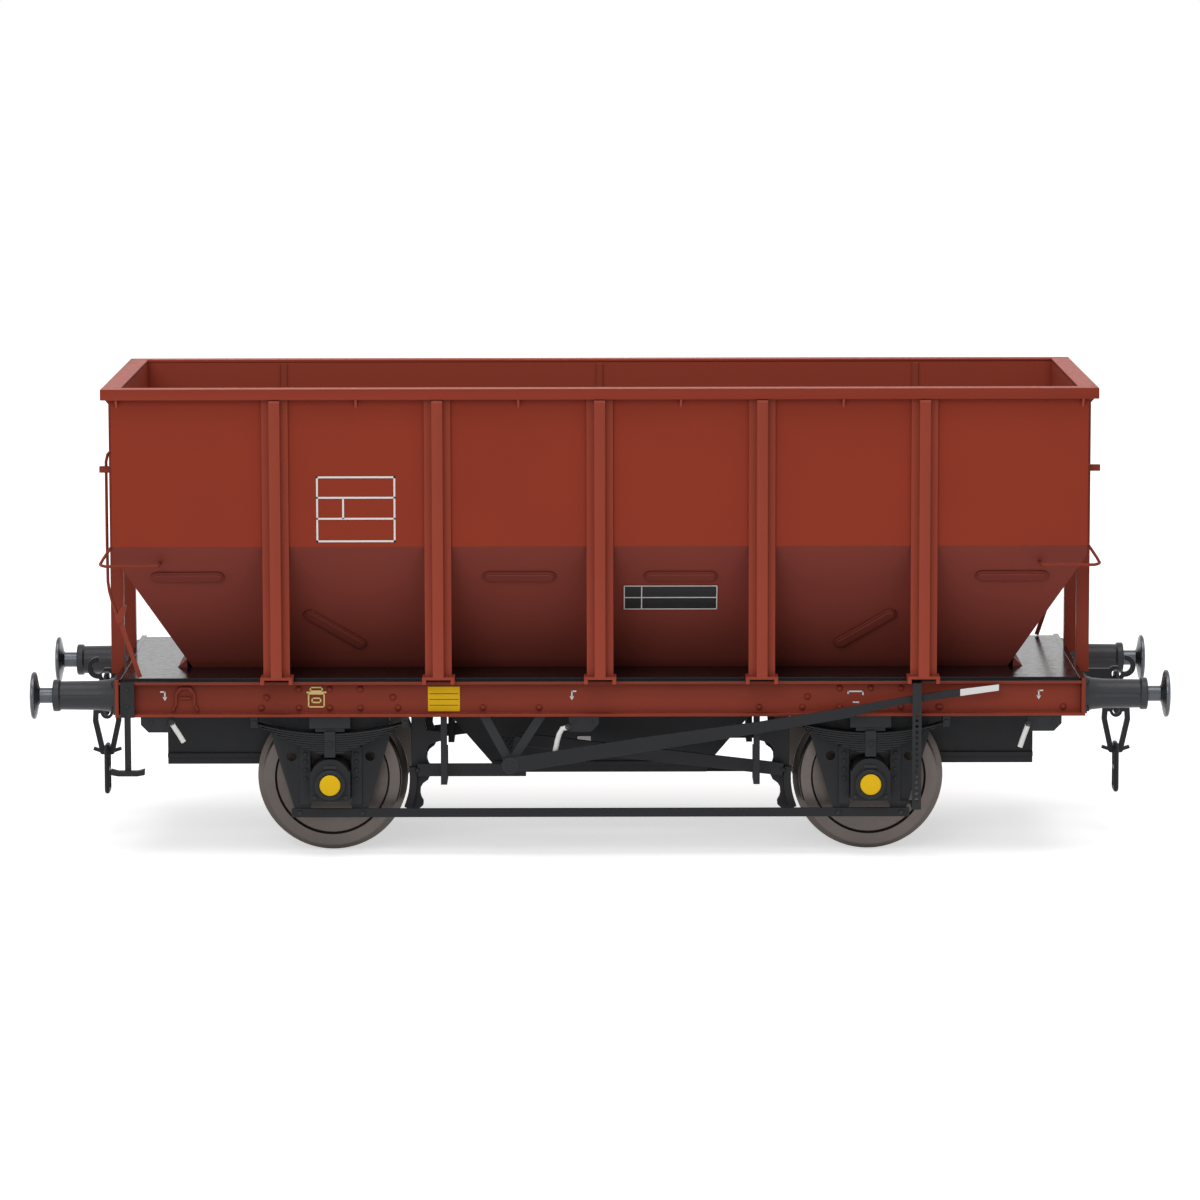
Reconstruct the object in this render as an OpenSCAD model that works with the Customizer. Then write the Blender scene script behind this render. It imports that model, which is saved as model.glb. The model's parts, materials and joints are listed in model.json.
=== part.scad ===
// Open hopper wagon, a two-axle model at 7 mm to the foot.
// X runs along the wagon, Y across it and Z up; the flanges stand on z = 0.
// The front is the -Y side and the left end is -X. Each back or right piece
// is its front or left twin turned half way round about Z.

/* [Body] */
// Length over the hopper's end sheets
body_len = 150.4; // [130:0.2:181]
// Width over the hopper's side sheets
body_w = 53.6; // [50:0.2:65]
// Height of the rim's top
rim_top = 73.8; // [65:0.2:85]
// Height of the crease where the side sheets turn inwards
crease_z = 49.3; // [44:0.1:58]
// Drop from the side crease to the crease of the end sheets
end_crease_drop = 1.7; // [0:0.1:4]
// Thickness of the upright sheets
wall = 1.5; // [0.8:0.1:2.5]
// Thickness of the sloping sheets
slope_t = 1.2; // [0.8:0.1:2]
// Width of the hopper's foot where the slopes end
foot_w = 25; // [23:0.2:26]
// How far the hopper's ends slope inwards down to its foot
end_slope_run = 10.2; // [8:0.1:12]

/* [Rim and ribs] */
// How far the rim stands out from the sheets
rim_out = 1.5; // [1:0.1:2.5]
// Height of the rim's outer leg
rim_h = 1.7; // [1.2:0.1:3]
// Thickness of the rim's metal
rim_t = 0.5; // [0.4:0.1:0.9]
// Distance between the side ribs
rib_pitch = 25; // [20:0.5:27]
// Number of ribs on each side
rib_count = 5; // [3:1:5]
// Width of a rib's face
rib_face_w = 1.7; // [1.2:0.1:3]
// Width over a rib's flanges
rib_w = 4.1; // [3.4:0.1:6]
// Width of a rib's foot
rib_foot_w = 5; // [4.4:0.1:7]
// How far a rib stands proud of the rim
rib_proud = 0.3; // [0.1:0.1:0.8]
// Distance of the end posts from the centre line
post_y = 11; // [9:0.5:13]

/* [Underframe] */
// How far the solebars' ends lie inside the hopper's ends
solebar_in = 0.55; // [0.55:0.05:0.65]
// How far the solebars lie inside the hopper's sides
frame_in = 1.3; // [0.8:0.1:1.8]
// Height of the solebars' top
frame_top = 28; // [27.6:0.1:34]
// Height of a solebar
solebar_h = 5.5; // [4.5:0.1:5.9]
// Thickness of the deck plates
deck_t = 0.4; // [0.3:0.1:1]
// Thickness of a headstock
headstock_t = 0.6; // [0.4:0.1:1.2]
// Distance of the corner steps from the solebars' ends
step_in = 1.35; // [1.2:0.05:3]

/* [Wheels] */
// Distance between the axles
wheelbase = 84; // [80:1:90]
// Diameter over the wheel treads
tread_d = 21.6; // [18:0.2:21.8]
// Height of the wheel flanges
flange_h = 1; // [0.7:0.1:1.1]
// Distance between the backs of the wheels
back_to_back = 29; // [28:0.2:30]
// Width of a wheel
wheel_w = 3.5; // [3:0.1:3.8]
// Diameter of the axle
axle_d = 3; // [2.4:0.1:4]

/* [Chutes] */
// Width over the chutes
chute_w = 21; // [19.6:0.2:24]
// Thickness of the chutes' walls
chute_t = 1; // [0.6:0.1:1.4]
// Height of the end chutes' lower edge
end_chute_z = 13.9; // [12:0.1:16]
// Height of the middle chute's lower edge
mid_chute_z = 12.5; // [11:0.1:15]
// Half the length of the middle chute at its lower edge
mid_chute_half = 16.8; // [13:0.1:18]
// Thickness of the chute doors
door_t = 1.1; // [0.8:0.1:1.4]

/* [Buffers and couplings] */
// Distance between the buffers
buffer_gap = 40; // [37:0.5:43]
// How far the drawbar through the frame lies to the right of the middle
draw_shift = 1.8; // [0:0.1:2]
// Height of the buffers and drawhooks
buffer_z = 25.2; // [24.6:0.1:27]
// Diameter of a buffer head
buffer_head_d = 7.4; // [6:0.1:9]
// How far a buffer head moves in
buffer_travel = 2; // [1:0.1:2.1]
// Diameter of the coupling links' metal
link_d = 0.8; // [0.6:0.1:0.9]

/* [Hidden] */
$fn = 48;

body_red = [0.53, 0.22, 0.17];
frame_black = [0.18, 0.19, 0.2];
wheel_grey = [0.43, 0.39, 0.35];
white = [0.92, 0.92, 0.9];

// Outer faces and heights that the pieces share
foot_len = body_len - 2 * end_slope_run;
frame_w = body_w - 2 * frame_in;
solebar_len = body_len - 2 * solebar_in;
side_y = body_w / 2;
end_x = body_len / 2;
rim_x = end_x + rim_out;
rim_y = side_y + rim_out;
rim_low = rim_top - rim_h;
end_crease_z = crease_z - end_crease_drop;
deck_top = frame_top + deck_t;
frame_y = frame_w / 2;
frame_low = frame_top - solebar_h;
frame_x = solebar_len / 2;
stock_x = frame_x + headstock_t;
wheel_r = tread_d / 2;
flange_r = wheel_r + flange_h;
axle_z = flange_r;
axle_x = wheelbase / 2;

// Slopes of the hopper: each runs from its crease to the foot, then on to the deck
foot_rise = 1.4;
foot_z = deck_top + foot_rise;
side_run = (side_y - foot_w / 2) / (crease_z - foot_z);
end_run = (end_x - foot_len / 2) / (end_crease_z - foot_z);
side_low_y = foot_w / 2 - foot_rise * side_run;
end_low_x = foot_len / 2 - foot_rise * end_run;
side_slope_in = slope_t * sqrt(1 + side_run * side_run);
end_slope_in = slope_t * sqrt(1 + end_run * end_run);
skirt_out = 1.5;

// Rails and stays at the corners of the body
rail_d = 0.5;
rail_out = 1.1;
rail_x = -end_x - rail_out;
rail_y = side_y - 3.4;
rail_top = rim_low - 9;
stay_top = crease_z - 6;

// Chutes under the deck and the saddles between them
chute_y = chute_w / 2;
end_chute_out = foot_len / 2 + 3.3;
end_chute_in = axle_x + 8;
mouth_x = foot_len / 2 + 0.4;
mid_run = 0.86;
mid_chute_top = mid_chute_half + (deck_top - mid_chute_z) * mid_run;
ridge_z = deck_top + (axle_x - mid_chute_top) / mid_run;
ridge_run = (end_chute_in - axle_x) / (ridge_z - deck_top);
mid_t = slope_t * sqrt(1 + 1 / (mid_run * mid_run));
ridge_t = slope_t * sqrt(1 + 1 / (ridge_run * ridge_run));
saddle_rise = max(mid_t, ridge_t);

// Solebar channel
web_t = 0.6;
flange_t = 0.45;
channel_d = 1.5;
web_y = frame_y - channel_d;
deck_y = web_y - 0.2;

// Running gear, from the wheel outwards
wheel_in_y = back_to_back / 2;
wheel_out_y = wheel_in_y + wheel_w;
guard_t = 0.8;
guard_y = frame_y - 3.7;
box_out_y = frame_y - 0.5;
spring_y0 = frame_y - 3.1;
spring_y1 = frame_y - 0.5;
spring_half = 11.8;
leaf_t = 0.36;
leaf_count = 9;
spring_sag = 1.7;
spring_end_z = frame_low - 1;
box_w = 6.2;
box_top = axle_z + 4;
box_low = axle_z - 2.7;
tie_z0 = axle_z - 5.6;
tie_h = 1.4;
journal_r = 0.6;
journal_end = box_out_y - 1.5;

// Buffers
housing_d = 4.7;
housing_len = 8.95;
collar_d = 5;
collar_len = 1.1;
shank_d = 2.4;
shank_gap = 0.1;
bore_end = 2;
head_gap = 0.35;
head_t = 0.9;
dome_h = 0.35;
collar_x = stock_x + housing_len + collar_len;
head_x = collar_x + buffer_travel + head_gap;

// Coupling, hung from the hook's eye
hook_t = 1;
eye_left = stock_x + 5.35 - draw_shift;
eye_right = stock_x + 5.35 + draw_shift;
eye_z = buffer_z + 0.3;
eye_d = 1.5;
link_r = link_d / 2;
shackle_len = 6;
link_w = 1.5;
tri_pin_z = eye_z - shackle_len;
tri_eye_r = link_r + 0.15;
tri_bar = 0.9;
tri_len = 6.3;
tri_half = 1.75;
tri_low_z = tri_pin_z - tri_len;
end_link_z = tri_low_z + tri_bar / 2 + link_r + 0.05;
end_link_len = 7.2;
end_link_w = 1.7;

// Brake gear of the front side
shaft_x = -14;
shaft_z = axle_z + 3.3;
shaft_d = 1;
v_y = frame_y - 1.2;
strap_t = 0.6;
lever_y = frame_y + 1.3;
lever_t = 0.6;
guide_x = axle_x + 7;
guide_w = 1.4;
guide_y = frame_y + 2;
guide_t = 0.4;
guide_low = tie_z0 + 2;
rod_y = wheel_out_y + 1.2;
rod_t = 0.6;
push_z = axle_z + 1.4;
hanger_x = axle_x - wheel_r - 2.6;
shoe_gap = 0.3;
shoe_t = 1.7;
guard_rise = 1.6;
bearer_z = max(axle_z + flange_r + 0.8, frame_low + guard_rise + 0.3);

// ---------- shapes ----------
// A block between two corners
module block(low, high) { translate(low) cube(high - low); }

// An outline in X and Z, from y0 to y1
module plate_xz(points, y0, y1) {
    translate([0, y1, 0]) rotate([90, 0, 0]) linear_extrude(y1 - y0) polygon(points);
}

// An outline in Y and Z, from x0 to x1
module plate_yz(points, x0, x1) {
    translate([x0, 0, 0]) rotate([90, 0, 90]) linear_extrude(x1 - x0) polygon(points);
}

// A round bar along Y
module bar_y(x, z, d, y0, y1) {
    translate([x, y0, z]) rotate([-90, 0, 0]) cylinder(h = y1 - y0, d = d);
}

// A round bar along X
module bar_x(y, z, d, x0, x1) {
    translate([x0, y, z]) rotate([0, 90, 0]) cylinder(h = x1 - x0, d = d);
}

// A round bar from one point to another
module rod(a, b, d) {
    v = b - a;
    len = norm(v);
    translate(a) rotate([0, acos(v[2] / len), atan2(v[1], v[0])]) cylinder(h = len, d = d);
}

// Round bars along a path, with a ball at each corner
module rods(path, d) {
    for (i = [1 : len(path) - 1]) rod(path[i - 1], path[i], d);
    for (i = [1 : len(path) - 2]) translate(path[i]) sphere(d = 1.06 * d);
}

// A flat strip of a given height along a line in X and Z
module strip(a, b, h, y0, y1) {
    v = b - a;
    n = [-v[1], v[0]] / norm(v) * h / 2;
    plate_xz([a + n, a - n, b - n, b + n], y0, y1);
}

// Flat strips along a path in X and Z, round at their joints
module strips(path, h, y0, y1) {
    for (i = [1 : len(path) - 1]) strip(path[i - 1], path[i], h, y0, y1);
    for (i = [1 : len(path) - 2]) bar_y(path[i][0], path[i][1], h, y0, y1);
}

// A piece and its twin turned half way round
module twice() { for (a = [0, 180]) rotate([0, 0, a]) children(); }

// A piece turned half way round
module turned() { rotate([0, 0, 180]) children(); }

// A piece and its mirror image across the wagon
module mirror_y() {
    children();
    mirror([0, 1, 0]) children();
}

// ---------- hopper ----------
// Inside of the hopper as seen from the end, below the crease
module inside_slopes(x0, x1) {
    plate_yz([[-side_y + side_slope_in, crease_z], [-side_low_y + side_slope_in, deck_top],
        [side_low_y - side_slope_in, deck_top], [side_y - side_slope_in, crease_z]], x0, x1);
}

// Upright part of a side
module side_sheet() {
    color(body_red)
    block([-end_x, -side_y, crease_z], [end_x, -side_y + wall, rim_top - rim_t]);
}

// Sloping part of a side, cut to the slope of the ends
module side_slope() {
    color(body_red)
    intersection() {
        plate_yz([[-side_y, crease_z], [-side_low_y, deck_top],
            [-side_low_y + side_slope_in, deck_top], [-side_y + side_slope_in, crease_z]],
            -end_x, end_x);
        plate_xz([[-end_x, crease_z], [-end_x, end_crease_z], [-end_low_x, deck_top],
            [end_low_x, deck_top], [end_x, end_crease_z], [end_x, crease_z]], -side_y, 0);
    }
}

// Upright part of an end, down to its own crease
module end_sheet() {
    color(body_red) {
        block([-end_x, -side_y + wall, crease_z], [-end_x + wall, side_y - wall, rim_top - rim_t]);
        intersection() {
            block([-end_x, -side_y, end_crease_z], [-end_x + wall, side_y, crease_z]);
            inside_slopes(-end_x, -end_x + wall);
        }
    }
}

// Sloping part of an end
module end_slope() {
    color(body_red)
    intersection() {
        plate_xz([[-end_x, end_crease_z], [-end_low_x, deck_top],
            [-end_low_x + end_slope_in, deck_top], [-end_x + end_slope_in, end_crease_z]],
            -side_y, side_y);
        inside_slopes(-end_x, 0);
    }
}

// One roof-shaped saddle over an axle
module saddle() {
    color(body_red)
    intersection() {
        plate_xz([[-end_chute_in, deck_top], [-axle_x, ridge_z], [-mid_chute_top, deck_top],
            [-mid_chute_top + saddle_rise * mid_run, deck_top], [-axle_x, ridge_z + saddle_rise],
            [-end_chute_in - saddle_rise * ridge_run, deck_top]], -side_y, side_y);
        inside_slopes(-end_x, 0);
    }
}
module saddles() { twice() saddle(); }

// Angle section frame round the hopper's mouth
module top_rim() {
    color(body_red)
    difference() {
        block([-rim_x, -rim_y, rim_low], [rim_x, rim_y, rim_top]);
        block([-end_x + wall, -side_y + wall, rim_low - 1], [end_x - wall, side_y - wall, rim_top + 1]);
        block([-rim_x + rim_t, -rim_y + rim_t, rim_low - 1],
            [rim_x - rim_t, rim_y - rim_t, rim_top - rim_t]);
    }
}

// One side rib: flanges on the sheet, a boxed face, a web to the slope and a foot
module side_rib(x) {
    face_y = rim_y + rib_proud;
    rib_flange = 0.5;
    bevel = 0.3;
    foot_h = 1.1;
    foot_leg = 0.6;
    web_w = 1;
    translate([x, 0, 0]) {
        block([-rib_w / 2, -side_y - rib_flange, frame_top + foot_h], [rib_w / 2, -side_y, rim_low]);
        plate_yz([[-side_y - rib_flange, frame_top + foot_h], [-face_y, frame_top + foot_h],
            [-face_y, rim_low - bevel - 0.1], [-face_y + bevel, rim_low - 0.1],
            [-side_y - rib_flange, rim_low - 0.1]],
            -rib_face_w / 2, rib_face_w / 2);
        plate_yz([[-side_y, frame_top + foot_h], [-side_y, crease_z], [-foot_w / 2, foot_z]],
            -web_w / 2, web_w / 2);
        difference() {
            block([-rib_foot_w / 2, -face_y, frame_top], [rib_foot_w / 2, -web_y - 0.6, frame_top + foot_h]);
            block([-rib_foot_w / 2 + foot_leg, -face_y - 1, frame_top - 1],
                [rib_foot_w / 2 - foot_leg, -web_y, frame_top + foot_h - 0.4]);
        }
    }
}
module side_ribs() {
    color(body_red)
    for (i = [0 : rib_count - 1]) side_rib((i - (rib_count - 1) / 2) * rib_pitch);
}

// Posts on the ends, from the rim down to the headstock
module end_posts() {
    post_w = 1.8;
    post_out = 0.2;
    post_in = 0.3;
    outer = max(end_x, stock_x);
    inner = end_x - post_in;
    color(body_red)
    twice() mirror_y() translate([0, -post_y, 0]) {
        block([-rim_x - post_out, -post_w / 2, frame_top - 0.5], [-outer, post_w / 2, rim_low]);
        plate_xz([[-outer, deck_top], [-outer, end_crease_z - outer + end_x], [-end_x, end_crease_z],
            [-inner, end_crease_z - post_in / end_run], [-inner, deck_top]], -post_w / 2, post_w / 2);
    }
}

// Bent stays that carry the upright rails down to the deck, at two corners
module end_stays() {
    stay_w = 0.65;
    stay_y0 = -rail_y - 0.3;
    color(body_red)
    twice() strips([[rail_x + 0.05, stay_top - 0.2], [rail_x + 0.6, stay_top - 2.7],
        [rail_x + 1.8, stay_top - 5.5], [-frame_x + 3.2, deck_top + 0.1]], stay_w, stay_y0, stay_y0 + stay_w);
}

// Rails at the corners: an upright on the end at two, one round the corner and a lug at all four
module handrails() {
    half = rail_d / 2;
    wrap_z = end_crease_z - 1.4;
    wrap_x = rail_x - 0.5;
    wrap_y = side_y + rail_out;
    side_leg_x = -end_x + 6.6;
    side_seat = (crease_z - wrap_z - rail_d) * side_run;
    end_leg_y = -side_y + 1.2;
    leg_rise = 3;
    lug_out = 2.2;
    lug_half = 0.45;
    color(body_red)
    twice() {
        strips([[-end_x - 0.12, rail_top + 0.8], [rail_x + 0.3, rail_top + 0.2], [rail_x, rail_top - 1],
            [rail_x, stay_top]], rail_d, -rail_y - half, -rail_y + half);
        mirror_y() {
            block([-end_x - lug_out, -rail_y - lug_half, rail_top - 2.7],
                [-end_x, -rail_y + lug_half, rail_top - 1.5]);
            block([side_leg_x - rail_d, -wrap_y, wrap_z],
                [side_leg_x, -side_y + side_seat, wrap_z + rail_d]);
            block([wrap_x - rail_d, -wrap_y - rail_d, wrap_z], [side_leg_x, -wrap_y, wrap_z + rail_d]);
            block([wrap_x - rail_d, -wrap_y, wrap_z], [wrap_x, end_leg_y, wrap_z + rail_d]);
            strip([wrap_x - half, wrap_z + half], [-end_x - 0.3, wrap_z + leg_rise], rail_d,
                end_leg_y - rail_d, end_leg_y);
            block([-end_x - 0.5, end_leg_y - rail_d, wrap_z + leg_rise - half],
                [-end_x, end_leg_y, wrap_z + leg_rise + half]);
        }
    }
}

// Flared skirt where each end of the hopper's foot meets the deck
module hopper_skirt() {
    skirt_half = side_low_y + 0.3;
    color(body_red)
    twice() plate_xz([[-foot_len / 2, foot_z], [-foot_len / 2 - skirt_out, deck_top],
        [-foot_len / 2, deck_top]], -skirt_half, skirt_half);
}

// ---------- deck and chutes ----------
// Deck plates along the sides
module deck_sides() {
    color(frame_black)
    twice() block([-frame_x, -deck_y, frame_top], [frame_x, -chute_y, deck_top]);
}

// Deck plates beyond the end chutes
module deck_ends() {
    color(frame_black)
    twice() block([-frame_x, -chute_y, frame_top], [-mouth_x, chute_y, deck_top]);
}

// Deck plates over the axles, between the chutes
module deck_bridges() {
    low_in = mid_chute_top - deck_t * mid_run;
    color(frame_black)
    twice() plate_xz([[-end_chute_in, frame_top], [-end_chute_in, deck_top],
        [-mid_chute_top, deck_top], [-low_in, frame_top]], -chute_y, chute_y);
}

// Straight chute under one end of the hopper
module end_chute() {
    color(frame_black)
    difference() {
        block([-end_chute_out, -chute_y, end_chute_z], [-end_chute_in, chute_y, deck_top]);
        block([-end_chute_out + chute_t, -chute_y + chute_t, end_chute_z - 1],
            [-end_chute_in - chute_t, chute_y - chute_t, deck_top + 1]);
        block([-end_chute_out - 1, -chute_y - 1, frame_top], [-mouth_x, chute_y + 1, deck_top + 1]);
    }
}

// Tapered chute under the middle of the hopper
module chute_middle() {
    in_x = chute_t * sqrt(1 + mid_run * mid_run);
    over = 1;
    color(frame_black)
    difference() {
        plate_xz([[-mid_chute_top, deck_top], [mid_chute_top, deck_top],
            [mid_chute_half, mid_chute_z], [-mid_chute_half, mid_chute_z]], -chute_y, chute_y);
        plate_xz([[-mid_chute_top + in_x - over * mid_run, deck_top + over],
            [mid_chute_top - in_x + over * mid_run, deck_top + over],
            [mid_chute_half - in_x - over * mid_run, mid_chute_z - over],
            [-mid_chute_half + in_x + over * mid_run, mid_chute_z - over]],
            -chute_y + chute_t, chute_y - chute_t);
    }
}

// A pair of closed doors under each chute
module chute_doors() {
    door_gap = 0.3;
    color(frame_black)
    for (side = [-1, 1]) {
        for (end = [-1, 1]) {
            middle = [end * (end_chute_out + end_chute_in) / 2, side * (chute_y + door_gap) / 2];
            translate([middle[0], middle[1], end_chute_z])
                block([-(end_chute_out - end_chute_in) / 2, -(chute_y - door_gap) / 2, -door_t],
                    [(end_chute_out - end_chute_in) / 2, (chute_y - door_gap) / 2, 0]);
        }
        translate([0, side * (chute_y + door_gap) / 2, mid_chute_z])
            block([-mid_chute_half, -(chute_y - door_gap) / 2, -door_t],
                [mid_chute_half, (chute_y - door_gap) / 2, 0]);
    }
}

// ---------- underframe ----------
// Channel with its flanges outwards
module solebar() {
    color(body_red) {
        block([-frame_x, -web_y, frame_low], [frame_x, -web_y + web_t, frame_top]);
        for (z = [frame_low, frame_top - flange_t])
            block([-frame_x, -frame_y, z], [frame_x, -web_y, z + flange_t]);
    }
}

// Headstock plates with the holes for the drawhooks' shanks
module headstocks() {
    color(body_red)
    twice() difference() {
        block([-stock_x, -frame_y, frame_low], [-frame_x, frame_y, deck_top]);
        block([-stock_x - 1, -hook_t / 2, buffer_z - hook_t], [-frame_x + 1, hook_t / 2, buffer_z + hook_t]);
    }
}

// Cross members between the solebars
module cross_bearers() {
    inner = web_y - web_t;
    color(frame_black)
    twice() {
        block([-axle_x - 1, -inner, bearer_z], [-axle_x + 1, inner, frame_top]);
        block([-hanger_x - 0.6, -inner, bearer_z - 1.5], [-hanger_x + 0.6, inner, bearer_z]);
        block([-end_chute_out - 4.6, -inner, bearer_z - 1], [-end_chute_out - 3.4, inner, frame_top]);
    }
}

// W-shaped guard plates that hold the axleboxes
module axleguard() {
    crown_z = axle_z + 7.1;
    leg = 2.2;
    low_half = box_w / 2 + leg + 0.1;
    top_half = 9.2;
    plate_xz([[-top_half, frame_low + guard_rise], [-top_half, crown_z], [-low_half, tie_z0 + 0.2],
        [-low_half + leg, tie_z0 + 0.2], [-box_w / 2, box_top + 0.2], [box_w / 2, box_top + 0.2],
        [low_half - leg, tie_z0 + 0.2], [low_half, tie_z0 + 0.2], [top_half, crown_z],
        [top_half, frame_low + guard_rise]], -guard_y, -guard_y + guard_t);
}
module axleguards() {
    color(frame_black)
    for (end = [-1, 1]) translate([end * axle_x, 0, 0]) mirror_y() difference() {
        axleguard();
        for (side = [-1, 1]) bar_y(side * 6.1, 15.8, 1.5, -guard_y - 1, -guard_y + guard_t + 1);
    }
}

// Axleboxes with their round covers
module axlebox() {
    cover_r = 2.3;
    cap_r = 1.65;
    shoulder = 2;
    difference() {
        union() {
            intersection() {
                block([-box_w / 2, -box_out_y, box_low], [box_w / 2, -wheel_out_y - 1, box_top]);
                union() {
                    block([-box_w / 2, -box_out_y, box_low],
                        [box_w / 2, -wheel_out_y - 1, box_top - shoulder]);
                    bar_y(0, box_top - box_w / 2, box_w, -box_out_y, -wheel_out_y - 1);
                }
            }
            bar_y(0, axle_z, 2 * cover_r, -box_out_y - 0.4, -box_out_y);
            bar_y(0, axle_z, 2 * cap_r, -box_out_y - 0.7, -box_out_y - 0.4);
        }
        bar_y(0, axle_z, 2 * (journal_r + 0.1), -journal_end - 0.2, -wheel_out_y);
    }
}
module axleboxes() {
    color(frame_black)
    for (end = [-1, 1]) translate([end * axle_x, 0, 0]) mirror_y() axlebox();
}

// One leaf, a shallow arc that hangs between its ends
module leaf(half, top_z, sag) {
    r = (spring_half * spring_half + sag * sag) / (2 * sag);
    translate([0, -spring_y0, 0]) rotate([90, 0, 0]) linear_extrude(spring_y1 - spring_y0)
    intersection() {
        translate([0, top_z + r]) difference() {
            circle(r = r + leaf_t, $fn = 360);
            circle(r = r, $fn = 360);
        }
        translate([-half, top_z - leaf_t - 0.01]) square([2 * half, leaf_t + 3]);
    }
}
module leaf_spring() {
    centre_z = spring_end_z - spring_sag;
    buckle_w = 1.7;
    shoe_w = 1.3;
    for (i = [0 : leaf_count - 1])
        leaf(spring_half * (1 - 0.8 * i / (leaf_count - 1)), centre_z - i * (leaf_t - 0.01), spring_sag);
    block([-buckle_w / 2, -spring_y1 - 0.2, box_top], [buckle_w / 2, -spring_y0 + 0.2, centre_z + 0.4]);
    for (side = [-1, 1])
        translate([side * (spring_half - 0.2), 0, 0])
            block([-shoe_w / 2, -spring_y1, spring_end_z - 0.9], [shoe_w / 2, -spring_y0, frame_low]);
}
module leaf_springs() {
    color(frame_black)
    for (end = [-1, 1]) translate([end * axle_x, 0, 0]) mirror_y() leaf_spring();
}

// Flat bars that tie the guards of each side together
module tie_bars() {
    tie_half = axle_x + 6.2;
    color(frame_black)
    twice() block([-tie_half, -guard_y - 0.5, tie_z0], [tie_half, -guard_y, tie_z0 + tie_h]);
}

// ---------- wheels ----------
// Section of one wheel from its back at y = 0 outwards: radius, distance
function wheel_section() = [[0, 0.3], [8.6, 0.7], [8.9, 0], [flange_r - 0.3, 0],
    [flange_r, 0.3], [flange_r, 0.55], [wheel_r + 0.15, 1], [wheel_r, wheel_w - 0.2],
    [wheel_r - 0.2, wheel_w], [9, wheel_w], [8.7, wheel_w - 0.7], [3, wheel_w - 1],
    [2.4, wheel_w], [0, wheel_w]];

module wheelset() {
    color(wheel_grey)
    translate([-axle_x, 0, axle_z]) {
        for (side = [-1, 1]) scale([1, side, 1])
            translate([0, wheel_in_y, 0]) rotate([-90, 0, 0]) rotate_extrude($fn = 96)
                polygon(wheel_section());
        bar_y(0, 0, axle_d, -wheel_in_y - 1, wheel_in_y + 1);
        bar_y(0, 0, 2 * journal_r, -journal_end, journal_end);
    }
}

// ---------- buffers ----------
// A housing on its base plate, bored for the shank
module buffer_housing() {
    base = 5.8;
    base_t = 0.5;
    flare = 1.2;
    difference() {
        union() {
            block([-stock_x - base_t, -base / 2, buffer_z - base / 2 + 0.2],
                [-stock_x, base / 2, buffer_z + base / 2]);
            bar_x(0, buffer_z, housing_d, -stock_x - housing_len, -stock_x - base_t);
            translate([-stock_x - base_t, 0, buffer_z]) rotate([0, -90, 0])
                cylinder(h = flare, d1 = base, d2 = housing_d);
            bar_x(0, buffer_z, collar_d, -collar_x, -stock_x - housing_len);
        }
        bar_x(0, buffer_z, shank_d + 2 * shank_gap, -collar_x - 1, -stock_x - bore_end);
    }
}
module buffer_housings() {
    color(frame_black)
    twice() mirror_y() translate([0, -buffer_gap / 2, 0]) buffer_housing();
}

// A moving head with its shank inside the housing
module buffer_head() {
    tail = stock_x + bore_end + buffer_travel + 0.2;
    dome_r = (buffer_head_d * buffer_head_d / 4 + dome_h * dome_h) / (2 * dome_h);
    color(wheel_grey)
    translate([0, -buffer_gap / 2, buffer_z]) {
        bar_x(0, 0, shank_d, -head_x - 0.2, -tail);
        intersection() {
            bar_x(0, 0, buffer_head_d, -head_x - head_t - dome_h, -head_x);
            translate([-head_x - head_t - dome_h + dome_r, 0, 0]) sphere(r = dome_r, $fn = 96);
        }
    }
}

// ---------- coupling ----------
// Flat hook with an eye in its shank and its point turned up
module drawhook(eye_x) {
    plate = hook_t / 2;
    hook_r = 1.75;
    throat_r = 0.95;
    hook_z = buffer_z + 1.5;
    hook_x = -eye_x - 1.3;
    difference() {
        union() {
            block([-stock_x, -plate, buffer_z - plate], [-frame_x + 1.5, plate, buffer_z + plate]);
            block([-eye_x, -plate, buffer_z - 0.8], [-stock_x, plate, buffer_z + 1.1]);
            bar_y(-eye_x, eye_z, 2.7, -plate, plate);
            bar_y(hook_x, hook_z, 2 * hook_r, -plate, plate);
        }
        bar_y(-eye_x, eye_z, eye_d, -1, 1);
        bar_y(hook_x, hook_z, 2 * throat_r, -1, 1);
        block([hook_x, -1, hook_z], [hook_x + 2 * hook_r, 1, hook_z + hook_r]);
    }
}
module drawhooks() {
    color(frame_black) {
        drawhook(eye_left);
        turned() drawhook(eye_right);
    }
}

// A closed link of round bar across the wagon, from z0 down to z1
module cross_link(eye_x, z0, z1, half) {
    x = -eye_x;
    for (side = [-1, 1]) rod([x, side * half, z1], [x, side * half, z0], link_d);
    for (z = [z0, z1]) {
        rod([x, -half, z], [x, half, z], link_d);
        for (side = [-1, 1]) translate([x, side * half, z]) sphere(d = link_d);
    }
}
module shackle(eye_x) { color(frame_black) cross_link(eye_x, eye_z, tri_pin_z, link_w); }
module end_link(eye_x) {
    color(frame_black) cross_link(eye_x, end_link_z, end_link_z - end_link_len, end_link_w);
}

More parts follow.
